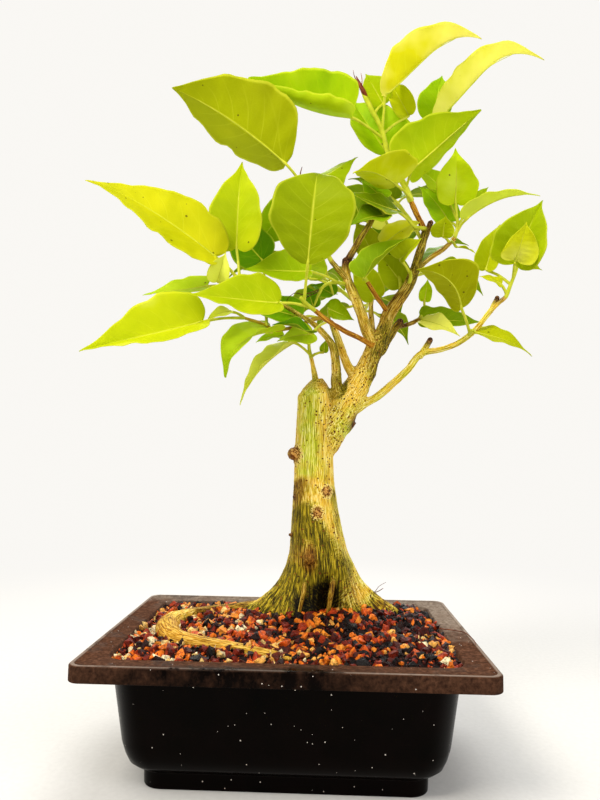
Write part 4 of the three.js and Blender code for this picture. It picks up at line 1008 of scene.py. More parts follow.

# each shoot as a stem of x, y, z and radius, and its leaves: where the stalk starts, base and tip of
# the blade, its width, the side that it shows, and its tone and warmth. Tone and warmth hold the blade's
# own colour and painted light and shade: brighter where light falls on it, darker where it lies in shade.

sprays = {
    "spray_left": dict(
        stem=[
            (-13, -14, 385, 1.9), (-25, -20, 389, 1.8), (-37, -24, 395, 1.7), (-48, -27, 402, 1.6),
            (-56, -29, 410, 1.3),
        ],
        leaves=[
            dict(root=(-51, -28, 405), base=(-70, -36, 421), tip=(-178, -54, 480), width=66,
                 face=(4, -8, 5), fold=19, arch=0.04, tone=0.84, warm=0.99, specks=0.3),
            dict(root=(-48, -27, 402), base=(-53, -16, 435), tip=(-51, -7, 519), width=54,
                 face=(0, -10, 1), fold=31, tone=0.86, warm=0.52),
            dict(root=(-37, -24, 395), base=(-80, -10, 401), tip=(-141, 0, 395), width=40,
                 face=(-2, -6, 7), fold=13, arch=-0.02, tone=0.94, warm=0.15),
            dict(root=(-44, -26, 400), base=(-66, -36, 398), tip=(-59, -38, 423), width=24,
                 face=(1, -10, -1), fold=38, tone=1, warm=0.69),
        ],
    ),
    "spray_centre": dict(
        stem=[(18, -29, 375, 1.8), (12, -35, 378, 1.8), (6, -41, 383, 1.5)],
        leaves=[
            dict(root=(13, -33, 377), base=(-13, -46, 377), tip=(-85, -64, 379), width=54,
                 face=(2, -8, 6), fold=19, arch=-0.02, tone=0.8, warm=0.68),
            dict(root=(9, -39, 382), base=(12, -58, 407), tip=(19, -50, 488), width=70,
                 face=(0, -10, -1), curl=0.25, outline="broad", tone=0.6, warm=0.68, specks=0.12),
        ],
    ),
    "spray_low": dict(
        stem=[
            (33, 22, 376, 2), (24, 14, 378, 1.9), (15, 8, 375, 1.8), (4, 3, 369, 1.7),
            (-8, -4, 364, 1.6), (-19, -8, 362, 1.5), (-26, -11, 366, 1.4), (-44, -20, 370, 1.3),
        ],
        leaves=[
            dict(root=(31, 20, 377), base=(14, -14, 358), tip=(-19, -28, 362), width=26,
                 face=(0, -5, 8), fold=24, tone=0.52, warm=0),
            dict(root=(20, 12, 378), base=(4, 0, 375), tip=(-50, -4, 381), width=40, face=(0, -8, 6),
                 tone=0.6, warm=0),
            dict(root=(-22, -8, 364), base=(-20, -14, 359), tip=(-58, -28, 316), width=52,
                 face=(-5, -6, 6), fold=21, arch=0.2, full=0.7, tone=0.98, warm=0),
            dict(root=(-44, -20, 370), base=(-77, -44, 361), tip=(-173, -62, 332), width=62,
                 face=(0, -9, 5), fold=36, arch=0.02, bend=0.04, tone=0.9, warm=0.56),
            dict(root=(-25, -12, 366), base=(-32, 8, 431), tip=(-67, 14, 470), width=48,
                 face=(-1, -10, 0), fold=34, tone=0.56, warm=0),
            dict(root=(31, 20, 377), base=(30, 26, 390), tip=(55, 36, 381), width=30,
                 face=(5, -7, 5), fold=14, arch=-0.02, tone=0.7, warm=0.33),
            dict(root=(-44, -20, 370), base=(-56, -27, 374), tip=(-75, -34, 362), width=15,
                 face=(1, -7, 7), curl=0.2, tone=0.98, warm=0.68),
        ],
    ),
    "spray_stub": dict(
        stem=[(14, 35, 344, 1.9), (12, 33, 353, 1.6), (12, 36, 363, 1.2)],
        leaves=[
            dict(root=(14, 34, 346), base=(-2, 16, 355), tip=(-48, -6, 294), width=40,
                 face=(-6, -4, 6), fold=21, arch=0.07, tone=1, warm=0.68),
            dict(root=(12, 33, 357), base=(-12, 20, 362), tip=(-37, 12, 354), width=20, face=(0, -6, 7),
                 tone=1, warm=0),
            dict(root=(14, 35, 345), base=(26, 44, 351), tip=(28, 48, 364), width=9, face=(0, -9, 3),
                 tone=0.66, warm=0.44),
            dict(root=(12, 33, 357), base=(16, 1, 360), tip=(-16, -6, 352), width=23, face=(1, -9, 4),
                 tone=1, warm=0.23),
        ],
    ),
    "spray_upper_left": dict(
        stem=[
            (32, 12, 432, 2.2), (23, 4, 447, 1.9), (15, -4, 467, 1.7), (9, -10, 483, 1.5),
            (6, -14, 493, 1.3),
        ],
        leaves=[
            dict(root=(6, -13, 492), base=(-10, -22, 510), tip=(-108, -48, 566), width=90,
                 face=(3, 6, 7), fold=29, outline="broad",
                 skew=((0, 1.2), (0.12, 1.5), (0.3, 1.12), (0.5, 0.78), (0.8, 0.74), (1, 1)),
                 tone=0.72, warm=0.88, specks=0.2),
            dict(root=(13, -6, 474), base=(-10, 8, 483), tip=(-43, 16, 444), width=44,
                 face=(2, -9, -4), fold=39, tone=0.68, warm=0.36),
            dict(root=(7, -12, 488), base=(10, 4, 501), tip=(57, 24, 539), width=40,
                 face=(-1, -8, 6), fold=-20, arch=-0.02, tone=0.68, warm=0.64),
        ],
    ),
    "spray_left_inner": dict(
        stem=[(45, 22, 413, 2), (39, 18, 413, 1.8), (29, 14, 411, 1.6), (22, 14, 405, 1.3)],
        leaves=[
            dict(root=(39, 18, 413), base=(12, -10, 415), tip=(-47, -14, 415), width=48,
                 face=(1, -8, 5), fold=23, arch=-0.02, tone=0.72, warm=0.47),
            dict(root=(29, 14, 411), base=(12, 16, 416), tip=(14, 34, 452), width=32, face=(1, -9, 2),
                 tone=0.62, warm=0.52),
            dict(root=(23, 14, 405), base=(16, 22, 390), tip=(9, 28, 412), width=20,
                 face=(-1, -10, 2), fold=31, tone=0.46, warm=0),
            dict(root=(31, 15, 411), base=(34, 28, 404), tip=(12, 38, 416), width=22, face=(0, -8, 5),
                 tone=0.56, warm=0),
        ],
    ),
    "spray_inner": dict(
        stem=[(73, 9, 479, 2.2), (74, 9, 485, 1.6), (75, 10, 490, 1.2)],
        leaves=[
            dict(root=(73, 9, 481), base=(80, -2, 470), tip=(48, -8, 458), width=36, face=(0, -7, 7),
                 tone=0.55, warm=0.35),
            dict(root=(74, 9, 485), base=(60, 14, 471), tip=(48, 22, 505), width=24, face=(0, -9, 3),
                 tone=0.5, warm=0.44),
            dict(root=(74, 10, 487), base=(83, 32, 501), tip=(60, 38, 523), width=26,
                 face=(1, -9, 4), fold=9, bend=0.07, tone=0.68, warm=0.13),
        ],
    ),
    "spray_right_node": dict(
        stem=[(124, 36, 472, 2), (118, 28, 470, 1.7), (110, 20, 468, 1.4)],
        leaves=[
            dict(root=(111, 21, 468), base=(92, 4, 477), tip=(42, -10, 489), width=44,
                 face=(3, -6, 7), fold=8, arch=-0.02, tone=0.46, warm=0.56, specks=0.12),
            dict(root=(118, 28, 470), base=(84, 26, 454), tip=(122, 36, 480), width=30, face=(-2, -8, 5),
                 tone=0.96, warm=0.84),
        ],
    ),
    "spray_inner_right": dict(
        stem=[(67, 15.7, 411.7, 1.7), (63.5, 12.5, 416.5, 1.5), (61, 10, 421, 1.2)],
        leaves=[
            dict(root=(64, 13, 415), base=(62, 4, 413), tip=(102, 0, 450), width=44,
                 face=(-6, -6, 5), fold=38, arch=0.03, tone=0.7, warm=0.28),
        ],
    ),
    "spray_limb": dict(
        stem=[(106, 34, 414, 2), (108, 27, 421, 1.6), (107, 22, 425, 1.3)],
        leaves=[
            dict(root=(107, 24, 424), base=(96, 10, 433), tip=(115, 4, 451), width=28,
                 face=(-5, -8, 2), fold=39, bend=-0.06, tone=0.78, warm=0.69),
        ],
    ),
    "spray_right_up": dict(
        stem=[(153, 43, 465, 2), (156, 43, 475, 1.8), (156, 42, 484, 1.4)],
        leaves=[
            dict(root=(156, 42, 482), base=(154, 42, 501), tip=(154, 40, 556), width=42, face=(0, -10, 1),
                 tone=0.9, warm=0.36),
            dict(root=(156, 43, 472), base=(163, 34, 481), tip=(225, 8, 493), width=26,
                 face=(-2, 1, 10), fold=39, arch=0.11, tone=1, warm=0.56),
            dict(root=(156, 43, 476), base=(150, 52, 485), tip=(120, 60, 526), width=36, face=(1, -9, 3),
                 tone=0.8, warm=0.11),
            dict(root=(156, 42, 483), base=(146, 62, 521), tip=(118, 72, 551), width=32, face=(1, -8, 5),
                 tone=0.78, warm=0.48),
            dict(root=(148, 42, 460), base=(140, 32, 463), tip=(142, 28, 482), width=26,
                 face=(-4, -9, -2), fold=29, tone=0.76, warm=0.78),
            dict(root=(149, 42, 462), base=(152, 30, 452), tip=(168, 22, 443), width=9, face=(0, -3, 9),
                 tone=0.81, warm=0.68),
            dict(root=(156, 43, 478), base=(170, 48, 494), tip=(191, 58, 524), width=16,
                 face=(-1, -9, 4), fold=21, tone=0.8, warm=0.6),
        ],
    ),
    "spray_right_far": dict(
        stem=[
            (190, 3, 396, 1.9), (191, 2, 398, 1.8), (194, 0, 407, 1.6), (198, -2, 418, 1.4),
            (200, -3, 425, 1.2),
        ],
        leaves=[
            dict(root=(196, -1, 412), base=(195, -10, 423), tip=(217, -20, 477), width=56,
                 face=(-4, -9, 0), fold=34, tone=0.76, warm=0.52),
            dict(root=(200, -3, 424), base=(192, -22, 423), tip=(198, -34, 452), width=36,
                 face=(0, -10, 1), frill=2.5, roll=(50, 75), tone=0.94, warm=0.75),
            dict(root=(194, 0, 407), base=(175, 10, 424), tip=(190, 16, 469), width=28,
                 face=(-3, -9, 2), fold=35, tone=0.78, warm=0.77),
            dict(root=(200, -3, 425), base=(202, 2, 430), tip=(221, -4, 419), width=16,
                 face=(1, -8, 6), fold=4, arch=-0.02, tone=0.8, warm=0.6),
            dict(root=(191, 2, 398), base=(185, 0, 407), tip=(165, -4, 413), width=12, face=(0, -8, 5),
                 tone=0.9, warm=0.84),
        ],
    ),
    "spray_right_mid": dict(
        stem=[(160, 17, 363, 2), (160, 13, 365, 1.7), (160, 9, 367, 1.3)],
        leaves=[
            dict(root=(160, 13, 365), base=(148, -8, 383), tip=(106, -24, 413), width=56,
                 face=(4, 4, 8), fold=19, bend=0.2, outline="slender",
                 tone=0.7, warm=0.8, specks=0.45),
            dict(root=(160, 10, 366), base=(165, 12, 365), tip=(213, 4, 342), width=30, face=(0, -6, 8),
                 tone=0.78, warm=0.84, specks=0.15),
        ],
    ),
    "spray_right_low": dict(
        stem=[(122, 62, 389, 1.9), (124, 63, 394, 1.6), (127, 64, 400, 1.2)],
        leaves=[
            dict(root=(123, 62, 391), base=(123, 58, 388), tip=(182, 48, 382), width=34,
                 face=(-1, -8, 6), fold=15, arch=-0.02, tone=0.56, warm=0.53, specks=0.4),
            dict(root=(123, 62, 392), base=(123, 48, 384), tip=(155, 31, 365), width=26, face=(0, -8, 6),
                 tone=1, warm=0.81, specks=0.2),
            dict(root=(127, 64, 399), base=(127, 64, 408), tip=(131, 66, 431), width=14, face=(0, -10, 1),
                 tone=0.9, warm=0.39),
        ],
    ),
    "spray_back_middle": dict(
        stem=[
            (94, 35, 398, 2), (100, 42, 413, 1.9), (99, 54, 438, 1.7), (94, 60, 465, 1.5),
            (88, 64, 483, 1.2),
        ],
        leaves=[
            dict(root=(99, 54, 438), base=(95, 66, 447), tip=(75, 79, 493), width=38,
                 face=(-2, -10, 2), fold=30, tone=0.5, warm=0.3),
            dict(root=(94, 60, 469), base=(88, 62, 490), tip=(54, 68, 514), width=32,
                 face=(-3, -10, -1), fold=33, tone=1, warm=0.84),
            dict(root=(101, 42, 413), base=(103, 50, 421), tip=(80, 60, 456), width=36,
                 face=(-3, -10, 1), fold=33, tone=0.68, warm=0.68),
            dict(root=(99, 52, 434), base=(75, 48, 406), tip=(55, 56, 449), width=32,
                 face=(-1, -10, 1), fold=31, tone=0.74, warm=0.76),
            dict(root=(99, 54, 440), base=(74, 56, 453), tip=(57, 62, 489), width=32,
                 face=(-1, -10, 1), fold=26, tone=0.58, warm=0.84),
        ],
    ),
    "spray_top": dict(
        stem=[
            (109, 31, 498, 2.4), (103, 28, 511, 2.2), (94, 25, 526, 2), (85, 22, 545, 1.8),
            (79, 20, 566, 1.7), (70, 20, 584, 1.7), (64, 20, 597, 1.9), (57, 20, 612, 0.6),
        ],
        leaves=[
            dict(root=(109, 30, 499), base=(92, 10, 505), tip=(50, -26, 499), width=66,
                 face=(-1, 0, 10), fold=22, arch=0.09, tone=0.91, warm=0.77, specks=0.12),
            dict(root=(104, 28, 510), base=(107, 8, 519), tip=(166, -14, 564), width=70,
                 face=(-3, 6, 7), fold=36, bend=0.05, full=0.8, tone=0.82, warm=0.41, specks=0.3),
            dict(root=(82, 21, 555), base=(50, 8, 570), tip=(-48, -8, 598), width=78,
                 face=(2, -9, 3), fold=49, arch=-0.1, full=0.6, roll=(0, 140), tone=0.9, warm=0.25),
            dict(root=(80, 20, 564), base=(82, 8, 593), tip=(165, -22, 628), width=56,
                 face=(-3, 2, 9), fold=53, arch=-0.04, curl=0.4, outline="slender",
                 tone=0.96, warm=0.91),
            dict(root=(86, 22, 543), base=(135, 26, 578), tip=(227, -4, 618), width=46,
                 face=(-3, 2, 9), fold=48, arch=-0.06, curl=0.55, outline="slender",
                 tone=1, warm=0.96),
            dict(root=(88, 23, 538), base=(135, 50, 592), tip=(145, 58, 643), width=40,
                 face=(-2, -10, 2), fold=29, tone=0.75, warm=0.13),
            dict(root=(72, 20, 580), base=(82, 34, 599), tip=(65, 40, 634), width=32,
                 face=(-3, -10, 0), fold=35, tone=0.82, warm=0.44),
            dict(root=(86, 22, 541), base=(86, 42, 553), tip=(52, 56, 614), width=66,
                 face=(1, -10, 3), fold=33, bend=0.05, tone=0.84, warm=0.28),
            dict(root=(80, 21, 560), base=(107, 31, 585), tip=(89, 39, 625), width=30,
                 face=(-3, -9, 0), fold=42, tone=0.86, warm=0.84),
        ],
    ),
}

# shoots on the far side: stem, number of leaves, seed, first turn, and length and width of a blade
backShoots = {
    "spray_back_left": (
        [(54, 27, 398, 2), (36, 52, 420, 1.8), (8, 82, 446, 1.3)], 4, 11, 130, 62, 42),
    "spray_back_right": (
        [(108, 36, 416, 2), (116, 70, 434, 1.8), (134, 104, 448, 1.3)], 4, 12, -20, 60, 40),
    "spray_back_top": (
        [(121, 37, 460, 2), (110, 64, 496, 1.8), (92, 92, 530, 1.3)], 4, 13, 100, 62, 42),
    "spray_back_low": (
        [(74, 52, 412, 1.9), (72, 84, 410, 1.7), (70, 102, 406, 1.3)], 3, 14, 60, 50, 36),
}

# small growths on a shoot: the sheath and hairs of the end bud, and a withered bristle
extras = {
    "spray_top": [
        ([(66.5, 19.5, 593, 1.4), (62, 19, 602, 2.4), (58, 19, 610, 1.9), (54.5, 18.5, 618, 0.4)], 0.0),
        ([(57, 19, 611, 0.5), (53, 18, 617, 0.4), (51.5, 18, 624, 0.2)], 0.0),
        ([(60, 19, 606, 0.5), (60, 18, 615, 0.4), (59, 18, 621, 0.2)], 0.1),
    ],
    "spray_upper_left": [
        ([(5.5, -14, 492, 0.9), (3, -15, 503, 0.6), (4.5, -16, 510, 0.3)], 0.0),
        ([(6, -14, 492, 0.8), (8, -15, 499, 0.5), (7, -15, 504, 0.3)], 0.05),
    ],
}


def bladeMesh(leaf, phase, first, warm):
    leaf = plainLeaf | leaf
    arch, curl, bend = leaf["arch"], leaf["curl"], leaf["bend"]
    base, tip = np.array(leaf["base"], float), np.array(leaf["tip"], float)
    length = np.linalg.norm(tip - base)
    forward = (tip - base) / length
    face = np.array(leaf["face"], float)
    face = unit(face - forward * face.dot(forward))
    sideways = np.cross(face, forward)
    lift = math.radians(leaf["fold"])
    rows, columns = leafBlade["rows"], leafBlade["columns"]

    def rib(u):
        u = np.asarray(u, float)[..., None]
        return (base + forward * length * u
                + face * length * (arch * 4 * u * (1 - u) + curl * (u - u ** 5))
                + sideways * length * bend * 4 * u * (1 - u))

    def upAt(u):
        tangent = unit(rib(u + 0.01) - rib(u - 0.01))
        return unit(face - tangent * (tangent @ face)[..., None])

    outline = np.array(outlines[leaf["outline"]], float)
    steps = np.linspace(0, len(outline) - 1, rows)
    ribAt = smoothColumn(outline[:, 0], steps)
    marginAt = smoothColumn(outline[:, 1], steps)
    share = np.clip(smoothColumn(outline[:, 2], steps), 0, None) ** leaf["full"]
    half = share * leaf["width"] / 2

    v = np.linspace(-1, 1, 2 * columns + 1)
    t = np.abs(v)[None, :]
    side = np.sign(v)[None, :]
    u = ribAt[:, None] + (marginAt - ribAt)[:, None] * t ** 1.35
    up = upAt(u)
    crease = np.sqrt(t * t + 0.0016) - 0.04
    ripple = leafBlade["wave"] * (1 - u) * np.sin(9.5 * u + phase + 1.7 * side) * t ** 1.6
    turns = length / leafBlade["frillSpan"]  # the margin's waves are 22 and 13 mm long
    frill = leafBlade["frill"] * leaf["frill"] * share[:, None] ** 0.5 * t ** 3 * (
        np.sin(3.7 * turns * u + 1.3 * phase + 2.1 * side) + 0.45 * np.sin(6.1 * turns * u + phase))
    between = np.sin(math.pi * leafBlade["veinPairs"] * ribAt)[:, None] ** 2
    puff = 0.011 * leaf["width"] * between * 4 * t * (1 - t)
    notch = np.sin(3.3 * turns * ribAt[:, None] + 2.6 * phase + 1.9 * side)
    notch = notch + 0.5 * np.sin(5.9 * turns * ribAt[:, None] + phase * side)
    widen = 1 + leafBlade["scallop"] * leaf["frill"] * notch * t ** 3
    skew = np.array(leaf["skew"], float)  # one half wider than the other along the rib
    widen = np.where(side > 0, widen * np.interp(ribAt, skew[:, 0], skew[:, 1])[:, None], widen)
    rolls = np.array(leaf["roll"], float)[((side + 1) // 2).astype(int)]
    angle = lift + np.radians(rolls) * np.clip((t - 0.52) / 0.48, 0, 1) ** 1.3
    reachOut, climb = profile(t, angle)
    middle = (rib(u) + sideways * (side * half[:, None] * reachOut * widen)[..., None]
              + up * (half[:, None] * (climb - t * math.sin(lift) + crease * math.sin(lift))
                      + ripple + frill + puff)[..., None])
    alongRow = np.gradient(middle, axis=1)
    alongRib = np.gradient(middle, axis=0)
    normal = np.cross(alongRib, alongRow)
    size = np.linalg.norm(normal, axis=2, keepdims=True)
    normal = np.where(size > 1e-6, normal / np.maximum(size, 1e-9), up)
    thick = leafBlade["thickness"] / 2
    upper, lower = middle + normal * thick, middle - normal * thick
    count = rows * len(v)
    points = upper.reshape(-1, 3).tolist() + lower.reshape(-1, 3).tolist()
    faces = []
    wide = len(v)
    for r in range(rows - 1):
        for c in range(wide - 1):
            a = first + r * wide + c
            faces.append((a, a + wide, a + wide + 1, a + 1))
            b = a + count
            faces.append((b, b + 1, b + wide + 1, b + wide))
    rim = [first + c for c in range(wide)]
    rim += [first + r * wide + wide - 1 for r in range(1, rows)]
    rim += [first + (rows - 1) * wide + c for c in range(wide - 2, -1, -1)]
    rim += [first + r * wide for r in range(rows - 2, 0, -1)]
    for a, b in zip(rim, rim[1:] + rim[:1]):
        faces.append((a, b, b + count, a + count))
    veinPlace = np.repeat((ribAt[:, None] * np.ones((1, wide)))[None], 2, 0)
    crossPlace = np.repeat((np.ones((rows, 1)) * (v[None, :] + 1) / 2)[None], 2, 0)
    maps = np.stack([veinPlace, crossPlace], -1).reshape(-1, 2)
    under = np.repeat([0.0, 1.0], count)
    look = np.stack([np.full(2 * count, leaf["tone"]), np.full(2 * count, warm), under,
                     np.full(2 * count, leaf["specks"])], 1)
    return points, faces, maps, look, rib


def profile(t, angle):  # the blade's section: how far out and how high, summed from the midrib
    half = t.shape[1] // 2
    out, high = np.zeros_like(t), np.zeros_like(t)
    for turn, columns in ((1, range(half + 1, t.shape[1])), (-1, range(half - 1, -1, -1))):
        for c in columns:
            step = t[0, c] - t[0, c - turn]
            lean = (angle[0, c] + angle[0, c - turn]) / 2
            out[0, c] = out[0, c - turn] + step * math.cos(lean)
            high[0, c] = high[0, c - turn] + step * math.sin(lean)
    return out, high


def smoothColumn(values, steps):  # monotone smooth interpolation of a column of an outline
    x = np.arange(len(values))
    slope = np.gradient(values)
    d = np.diff(values)
    slope[1:-1] = np.where(d[:-1] * d[1:] <= 0, 0, 2 * d[:-1] * d[1:] / (d[:-1] + d[1:] + 1e-12))
    k = np.clip(steps.astype(int), 0, len(values) - 2)
    w = steps - x[k]
    a, b, m, n = values[k], values[k + 1], slope[k], slope[k + 1]
    return a + m * w + (3 * (b - a) - 2 * m - n) * w ** 2 + (2 * (a - b) + m + n) * w ** 3


def spiralLeaves(stem, count, seed, firstTurn, length, width):
    draw = randomDraw(seed)
    at = smoothCurve([p[:3] for p in stem])
    leaves = []
    for i in range(count):
        t = 0.3 + 0.7 * i / (count - 1)
        root = at(t)
        tangent = unit(at(min(t + 1e-4, 1)) - at(t - 1e-4))
        turn = math.radians(firstTurn + 137.5 * i)
        outward = np.array((math.cos(turn), math.sin(turn), 0.25))
        outward = unit(outward + tangent * (0.7 - outward.dot(tangent)))
        base = root + outward * (20 + 8 * draw())
        droop = unit(outward + np.array((0, 0, -0.55)))
        tip = base + droop * length * (0.85 + 0.3 * draw())
        leaves.append(dict(root=root, base=base, tip=tip, width=width * (0.85 + 0.3 * draw()),
                           face=(0.5 * outward[0], 0.5 * outward[1], 1), arch=0.1,
                           tone=0.5 + 0.15 * draw(), warm=0.3))
    return leaves


def makeSpray(name, stem, leaves, materials):
    points, faces, maps, looks, kinds = [], [], [], [], []

    def addPart(more, walls, places, look, kind):
        points.extend(more)
        faces.extend(walls)
        maps.extend(places)
        looks.extend(look)
        kinds.extend([kind] * len(walls))

    def addTube(nodes, step, sides, shade):
        more, walls = tube(nodes, step, sides, len(points))
        addPart(more, walls, [(0, 0)] * len(more), [(shade, 0.5, 0, 1)] * len(more), 1)

    # the leader is stout, and the low shoot is browner than the others
    thick, shade = 1.4 if name == "spray_top" else 1.05, 0.35 if name == "spray_low" else 0.75
    addTube([(x, y, z, r * thick) for x, y, z, r in stem], 2.0, 12, shade)
    for nodes, shade in extras.get(name, []):
        addTube(nodes, 2.0, 8, shade)
    rng = np.random.default_rng(sum(map(ord, name)))
    low, high = np.array([list(corner) for corner in cadBox]) / mm
    for i, leaf in enumerate(leaves):
        warm = leaf["warm"] + rng.uniform(-0.1, 0.1)
        more, walls, places, look, rib = bladeMesh(leaf, 2.1 * i, len(points), warm)
        more = np.array(more)  # moved in by a hair where an edge would pass the part's own box
        inward = np.clip(low + 0.1 - more.min(0), 0, None) - np.clip(more.max(0) - high + 0.1, 0, None)
        addPart((more + inward).tolist(), walls, places.tolist(), look.tolist(), 0)
        root, base = np.array(leaf["root"], float), np.array(leaf["base"], float)
        middle = (root + base) / 2 + np.array((0, 0, leafBlade["stalkSag"]))
        r = leafBlade["stalk"]
        stalk = [(*root, r * 1.2), (*middle, r), (*base, r * 1.15), (*(rib(0.05) + inward), r * 0.7)]
        # the stalk runs on as the midrib
        behind = inward - leafBlade["midribSink"] * unit(np.array(leaf["face"], float))
        stalk += [(*(rib(u) + behind), r * (0.62 - 0.5 * u)) for u in (0.2, 0.4, 0.6, 0.8)]
        addTube(stalk, 2.5, 8, 0.8)
    piece = meshObject(name.replace("spray_", "leaves_"), points, faces, materials)
    mesh = piece.data
    mesh.polygons.foreach_set("material_index", kinds)
    layer = mesh.uv_layers.new(name="bladePlace")
    corners = np.empty(len(mesh.loops), int)
    mesh.loops.foreach_get("vertex_index", corners)
    layer.data.foreach_set("uv", np.array(maps, np.float32)[corners].ravel())
    tint = mesh.attributes.new("leafLook", "FLOAT_COLOR", "POINT")
    tint.data.foreach_set("color", np.array(looks, np.float32).ravel())
    slotName = "leaf_lime" if name in limeShoots else "leaf_olive" if name in oliveShoots else "leaf_deep"
    keep(piece, slotName, name)


leafColours = dict(
    fresh=[(0.0, "#0f2a04"), (0.25, "#2c6404"), (0.5, "#5f9e00"), (0.75, "#98ca00"), (1.0, "#d0e80c")],
    ripe=[(0.0, "#2a2c02"), (0.25, "#5c6402"), (0.5, "#9a9e00"), (0.75, "#c6ca02"), (0.92, "#e8e418"),
          (1.0, "#fbf67c")],
    underside="#b4aa04", veins="#eef040", specks="#4a3208",
)
shootColours = [
    (0.0, "#5e2008"), (0.1, "#94430f"), (0.25, "#9a6414"), (0.45, "#b9a01e"), (0.7, "#b4bc1c"),
    (0.95, "#dcdc40"),
]


# Fig leaf: a thin waxy blade that light shines through. The veins are a little paler than the
# blade: a fine midrib, two strong veins from the base, and eight or so pairs that lean towards the
# tip, with a faint net between. The margin has a pale rim. The underside is duller and its veins
# stand up. Old blades have small brown specks.
def figLeaf():
    material, node = newMaterial("fig leaf blade")
    place = node("TexCoord").outputs["Object"]
    unrolled = node("UVMap", uv_map="bladePlace")
    blade = node("SeparateXYZ", {0: unrolled})
    given = node("Attribute", attribute_name="leafLook")
    look = node("SeparateColor", {0: given.outputs["Color"]})
    tone, warm, under = look.outputs["Red"], look.outputs["Green"], look.outputs["Blue"]
    centred = node("Math", {0: blade.outputs["Y"], 1: 0.5}, operation="SUBTRACT")
    off = node("Math", {0: centred}, operation="ABSOLUTE")
    across = node("Math", {0: off, 1: 2.0}, operation="MULTIPLY")
    lean = node("Math", {0: across, 1: -0.17, 2: blade.outputs["X"]}, operation="MULTIPLY_ADD")
    order = node("Math", {0: lean, 1: leafBlade["veinPairs"]}, operation="MULTIPLY")
    gap = node("Math", {0: order, 1: 0.5}, operation="PINGPONG")
    midrib = node("MapRange", {0: across, 1: 0.012, 2: 0.05, 3: 1.0, 4: 0.0})
    lateral = node("MapRange", {0: gap, 1: 0.0, 2: 0.055, 3: 1.0, 4: 0.0})
    fading = node("MapRange", {0: across, 1: 0.1, 2: 0.9, 3: 0.5, 4: 0.08})
    lateral = node("Math", {0: lateral, 1: fading}, operation="MULTIPLY")
    rise = node("Math", {0: across, 1: -0.45, 2: blade.outputs["X"]}, operation="MULTIPLY_ADD")
    rise = node("Math", {0: rise}, operation="ABSOLUTE")
    basal = node("MapRange", {0: rise, 1: 0.004, 2: 0.018, 3: 0.6, 4: 0.0})
    basal = node("Math", {0: basal, 1: fading}, operation="MULTIPLY")
    rim = node("MapRange", {0: across, 1: 0.93, 2: 0.97, 3: 0.0, 4: 0.8})
    stretched = node("Mapping", {"Vector": unrolled, "Scale": (30, 20, 1)})
    net = node("TexVoronoi", {"Vector": stretched, "Scale": 1}, feature="DISTANCE_TO_EDGE")
    fine = node("MapRange", {0: net, 1: 0.0, 2: 0.07, 3: 0.1, 4: 0.0})
    veins = lateral
    for more in (basal, fine, midrib):
        veins = node("Math", {0: veins, 1: more}, operation="MAXIMUM")
    plain = node("MapRange", {0: blade.outputs["X"], 1: 0.7, 2: 0.9, 3: 1.0, 4: 0.0})
    raised = node("Math", {0: veins, 1: plain}, operation="MULTIPLY")
    veins = raised  # none stands up on the drip tip, where only the midrib and the rim go on
    for more in (midrib, rim):
        veins = node("Math", {0: veins, 1: more}, operation="MAXIMUM")
    # the blade's tone and warmth carry painted light and shade as well as its own colour
    cloud = node("TexNoise", {"Vector": place, "Scale": 22, "Detail": 3})
    drift = node("MapRange", {0: cloud, 1: 0.3, 2: 0.7, 3: -0.08, 4: 0.08})
    shade = node("Math", {0: tone, 1: drift}, operation="ADD", use_clamp=True)
    fresh = node("ValToRGB", {0: shade}, ramp=leafColours["fresh"])
    ripe = node("ValToRGB", {0: shade}, ramp=leafColours["ripe"])
    body = node("Mix", {0: warm, 6: fresh, 7: ripe}, data_type="RGBA")
    dulled = node("MapRange", {0: tone, 1: 0.75, 2: 1.0, 3: 0.3, 4: 0.06})
    dull = node("Mix", {0: dulled, 6: body, 7: linear(leafColours["underside"])}, data_type="RGBA")
    sided = node("Mix", {0: under, 6: body, 7: dull}, data_type="RGBA")
    paler = node("Mix", {0: 0.55, 6: sided, 7: linear(leafColours["veins"])}, data_type="RGBA")
    veined = node("Mix", {0: veins, 6: sided, 7: paler}, data_type="RGBA")
    dots, drawn = dotsIn(node, place, 170, 0.05, 0.2)
    few = node("Math", {0: given.outputs["Alpha"], 1: 0.55}, operation="MULTIPLY")
    chosen = node("Math", {0: drawn, 1: few}, operation="LESS_THAN")
    chosen = node("Math", {0: chosen, 1: dots}, operation="MULTIPLY")
    chosen = node("Math", {0: chosen, 1: 0.7}, operation="MULTIPLY")
    colour = node("Mix", {0: chosen, 6: veined, 7: linear(leafColours["specks"])}, data_type="RGBA")
    sunk = node("MapRange", {0: under, 3: -1.0, 4: 1.0})
    relief = node("Math", {0: raised, 1: sunk}, operation="MULTIPLY")
    bumps = node("Bump", {"Height": relief, "Strength": 0.3, "Distance": 0.0005})
    rough = node("MapRange", {0: under, 3: 0.52, 4: 0.64})
    skin = node("BsdfPrincipled", {
        "Base Color": colour, "Roughness": rough, "Normal": bumps, "Specular IOR Level": 0.08})
    glow = node("BsdfTranslucent", {"Color": colour, "Normal": bumps})
    both = node("MixShader", {0: 0.4, 1: skin, 2: glow})
    node("OutputMaterial", {"Surface": both})
    return material


# Young bark of the leaf stalks and leafy shoots: smooth and waxy, from russet to yellow-green.
def greenShoot():
    material, node = newMaterial("young shoot bark")
    place = node("TexCoord").outputs["Object"]
    given = node("Attribute", attribute_name="leafLook")
    look = node("SeparateColor", {0: given.outputs["Color"]})
    cloud = node("TexNoise", {"Vector": place, "Scale": 160, "Detail": 3})
    drift = node("MapRange", {0: cloud, 1: 0.3, 2: 0.7, 3: -0.08, 4: 0.12})
    shade = node("Math", {0: look, 1: drift}, operation="ADD", use_clamp=True)
    colour = node("ValToRGB", {0: shade}, ramp=shootColours)
    skin = node("BsdfPrincipled", {"Base Color": colour, "Roughness": 0.42, "Specular IOR Level": 0.2})
    node("OutputMaterial", {"Surface": skin})
    return material


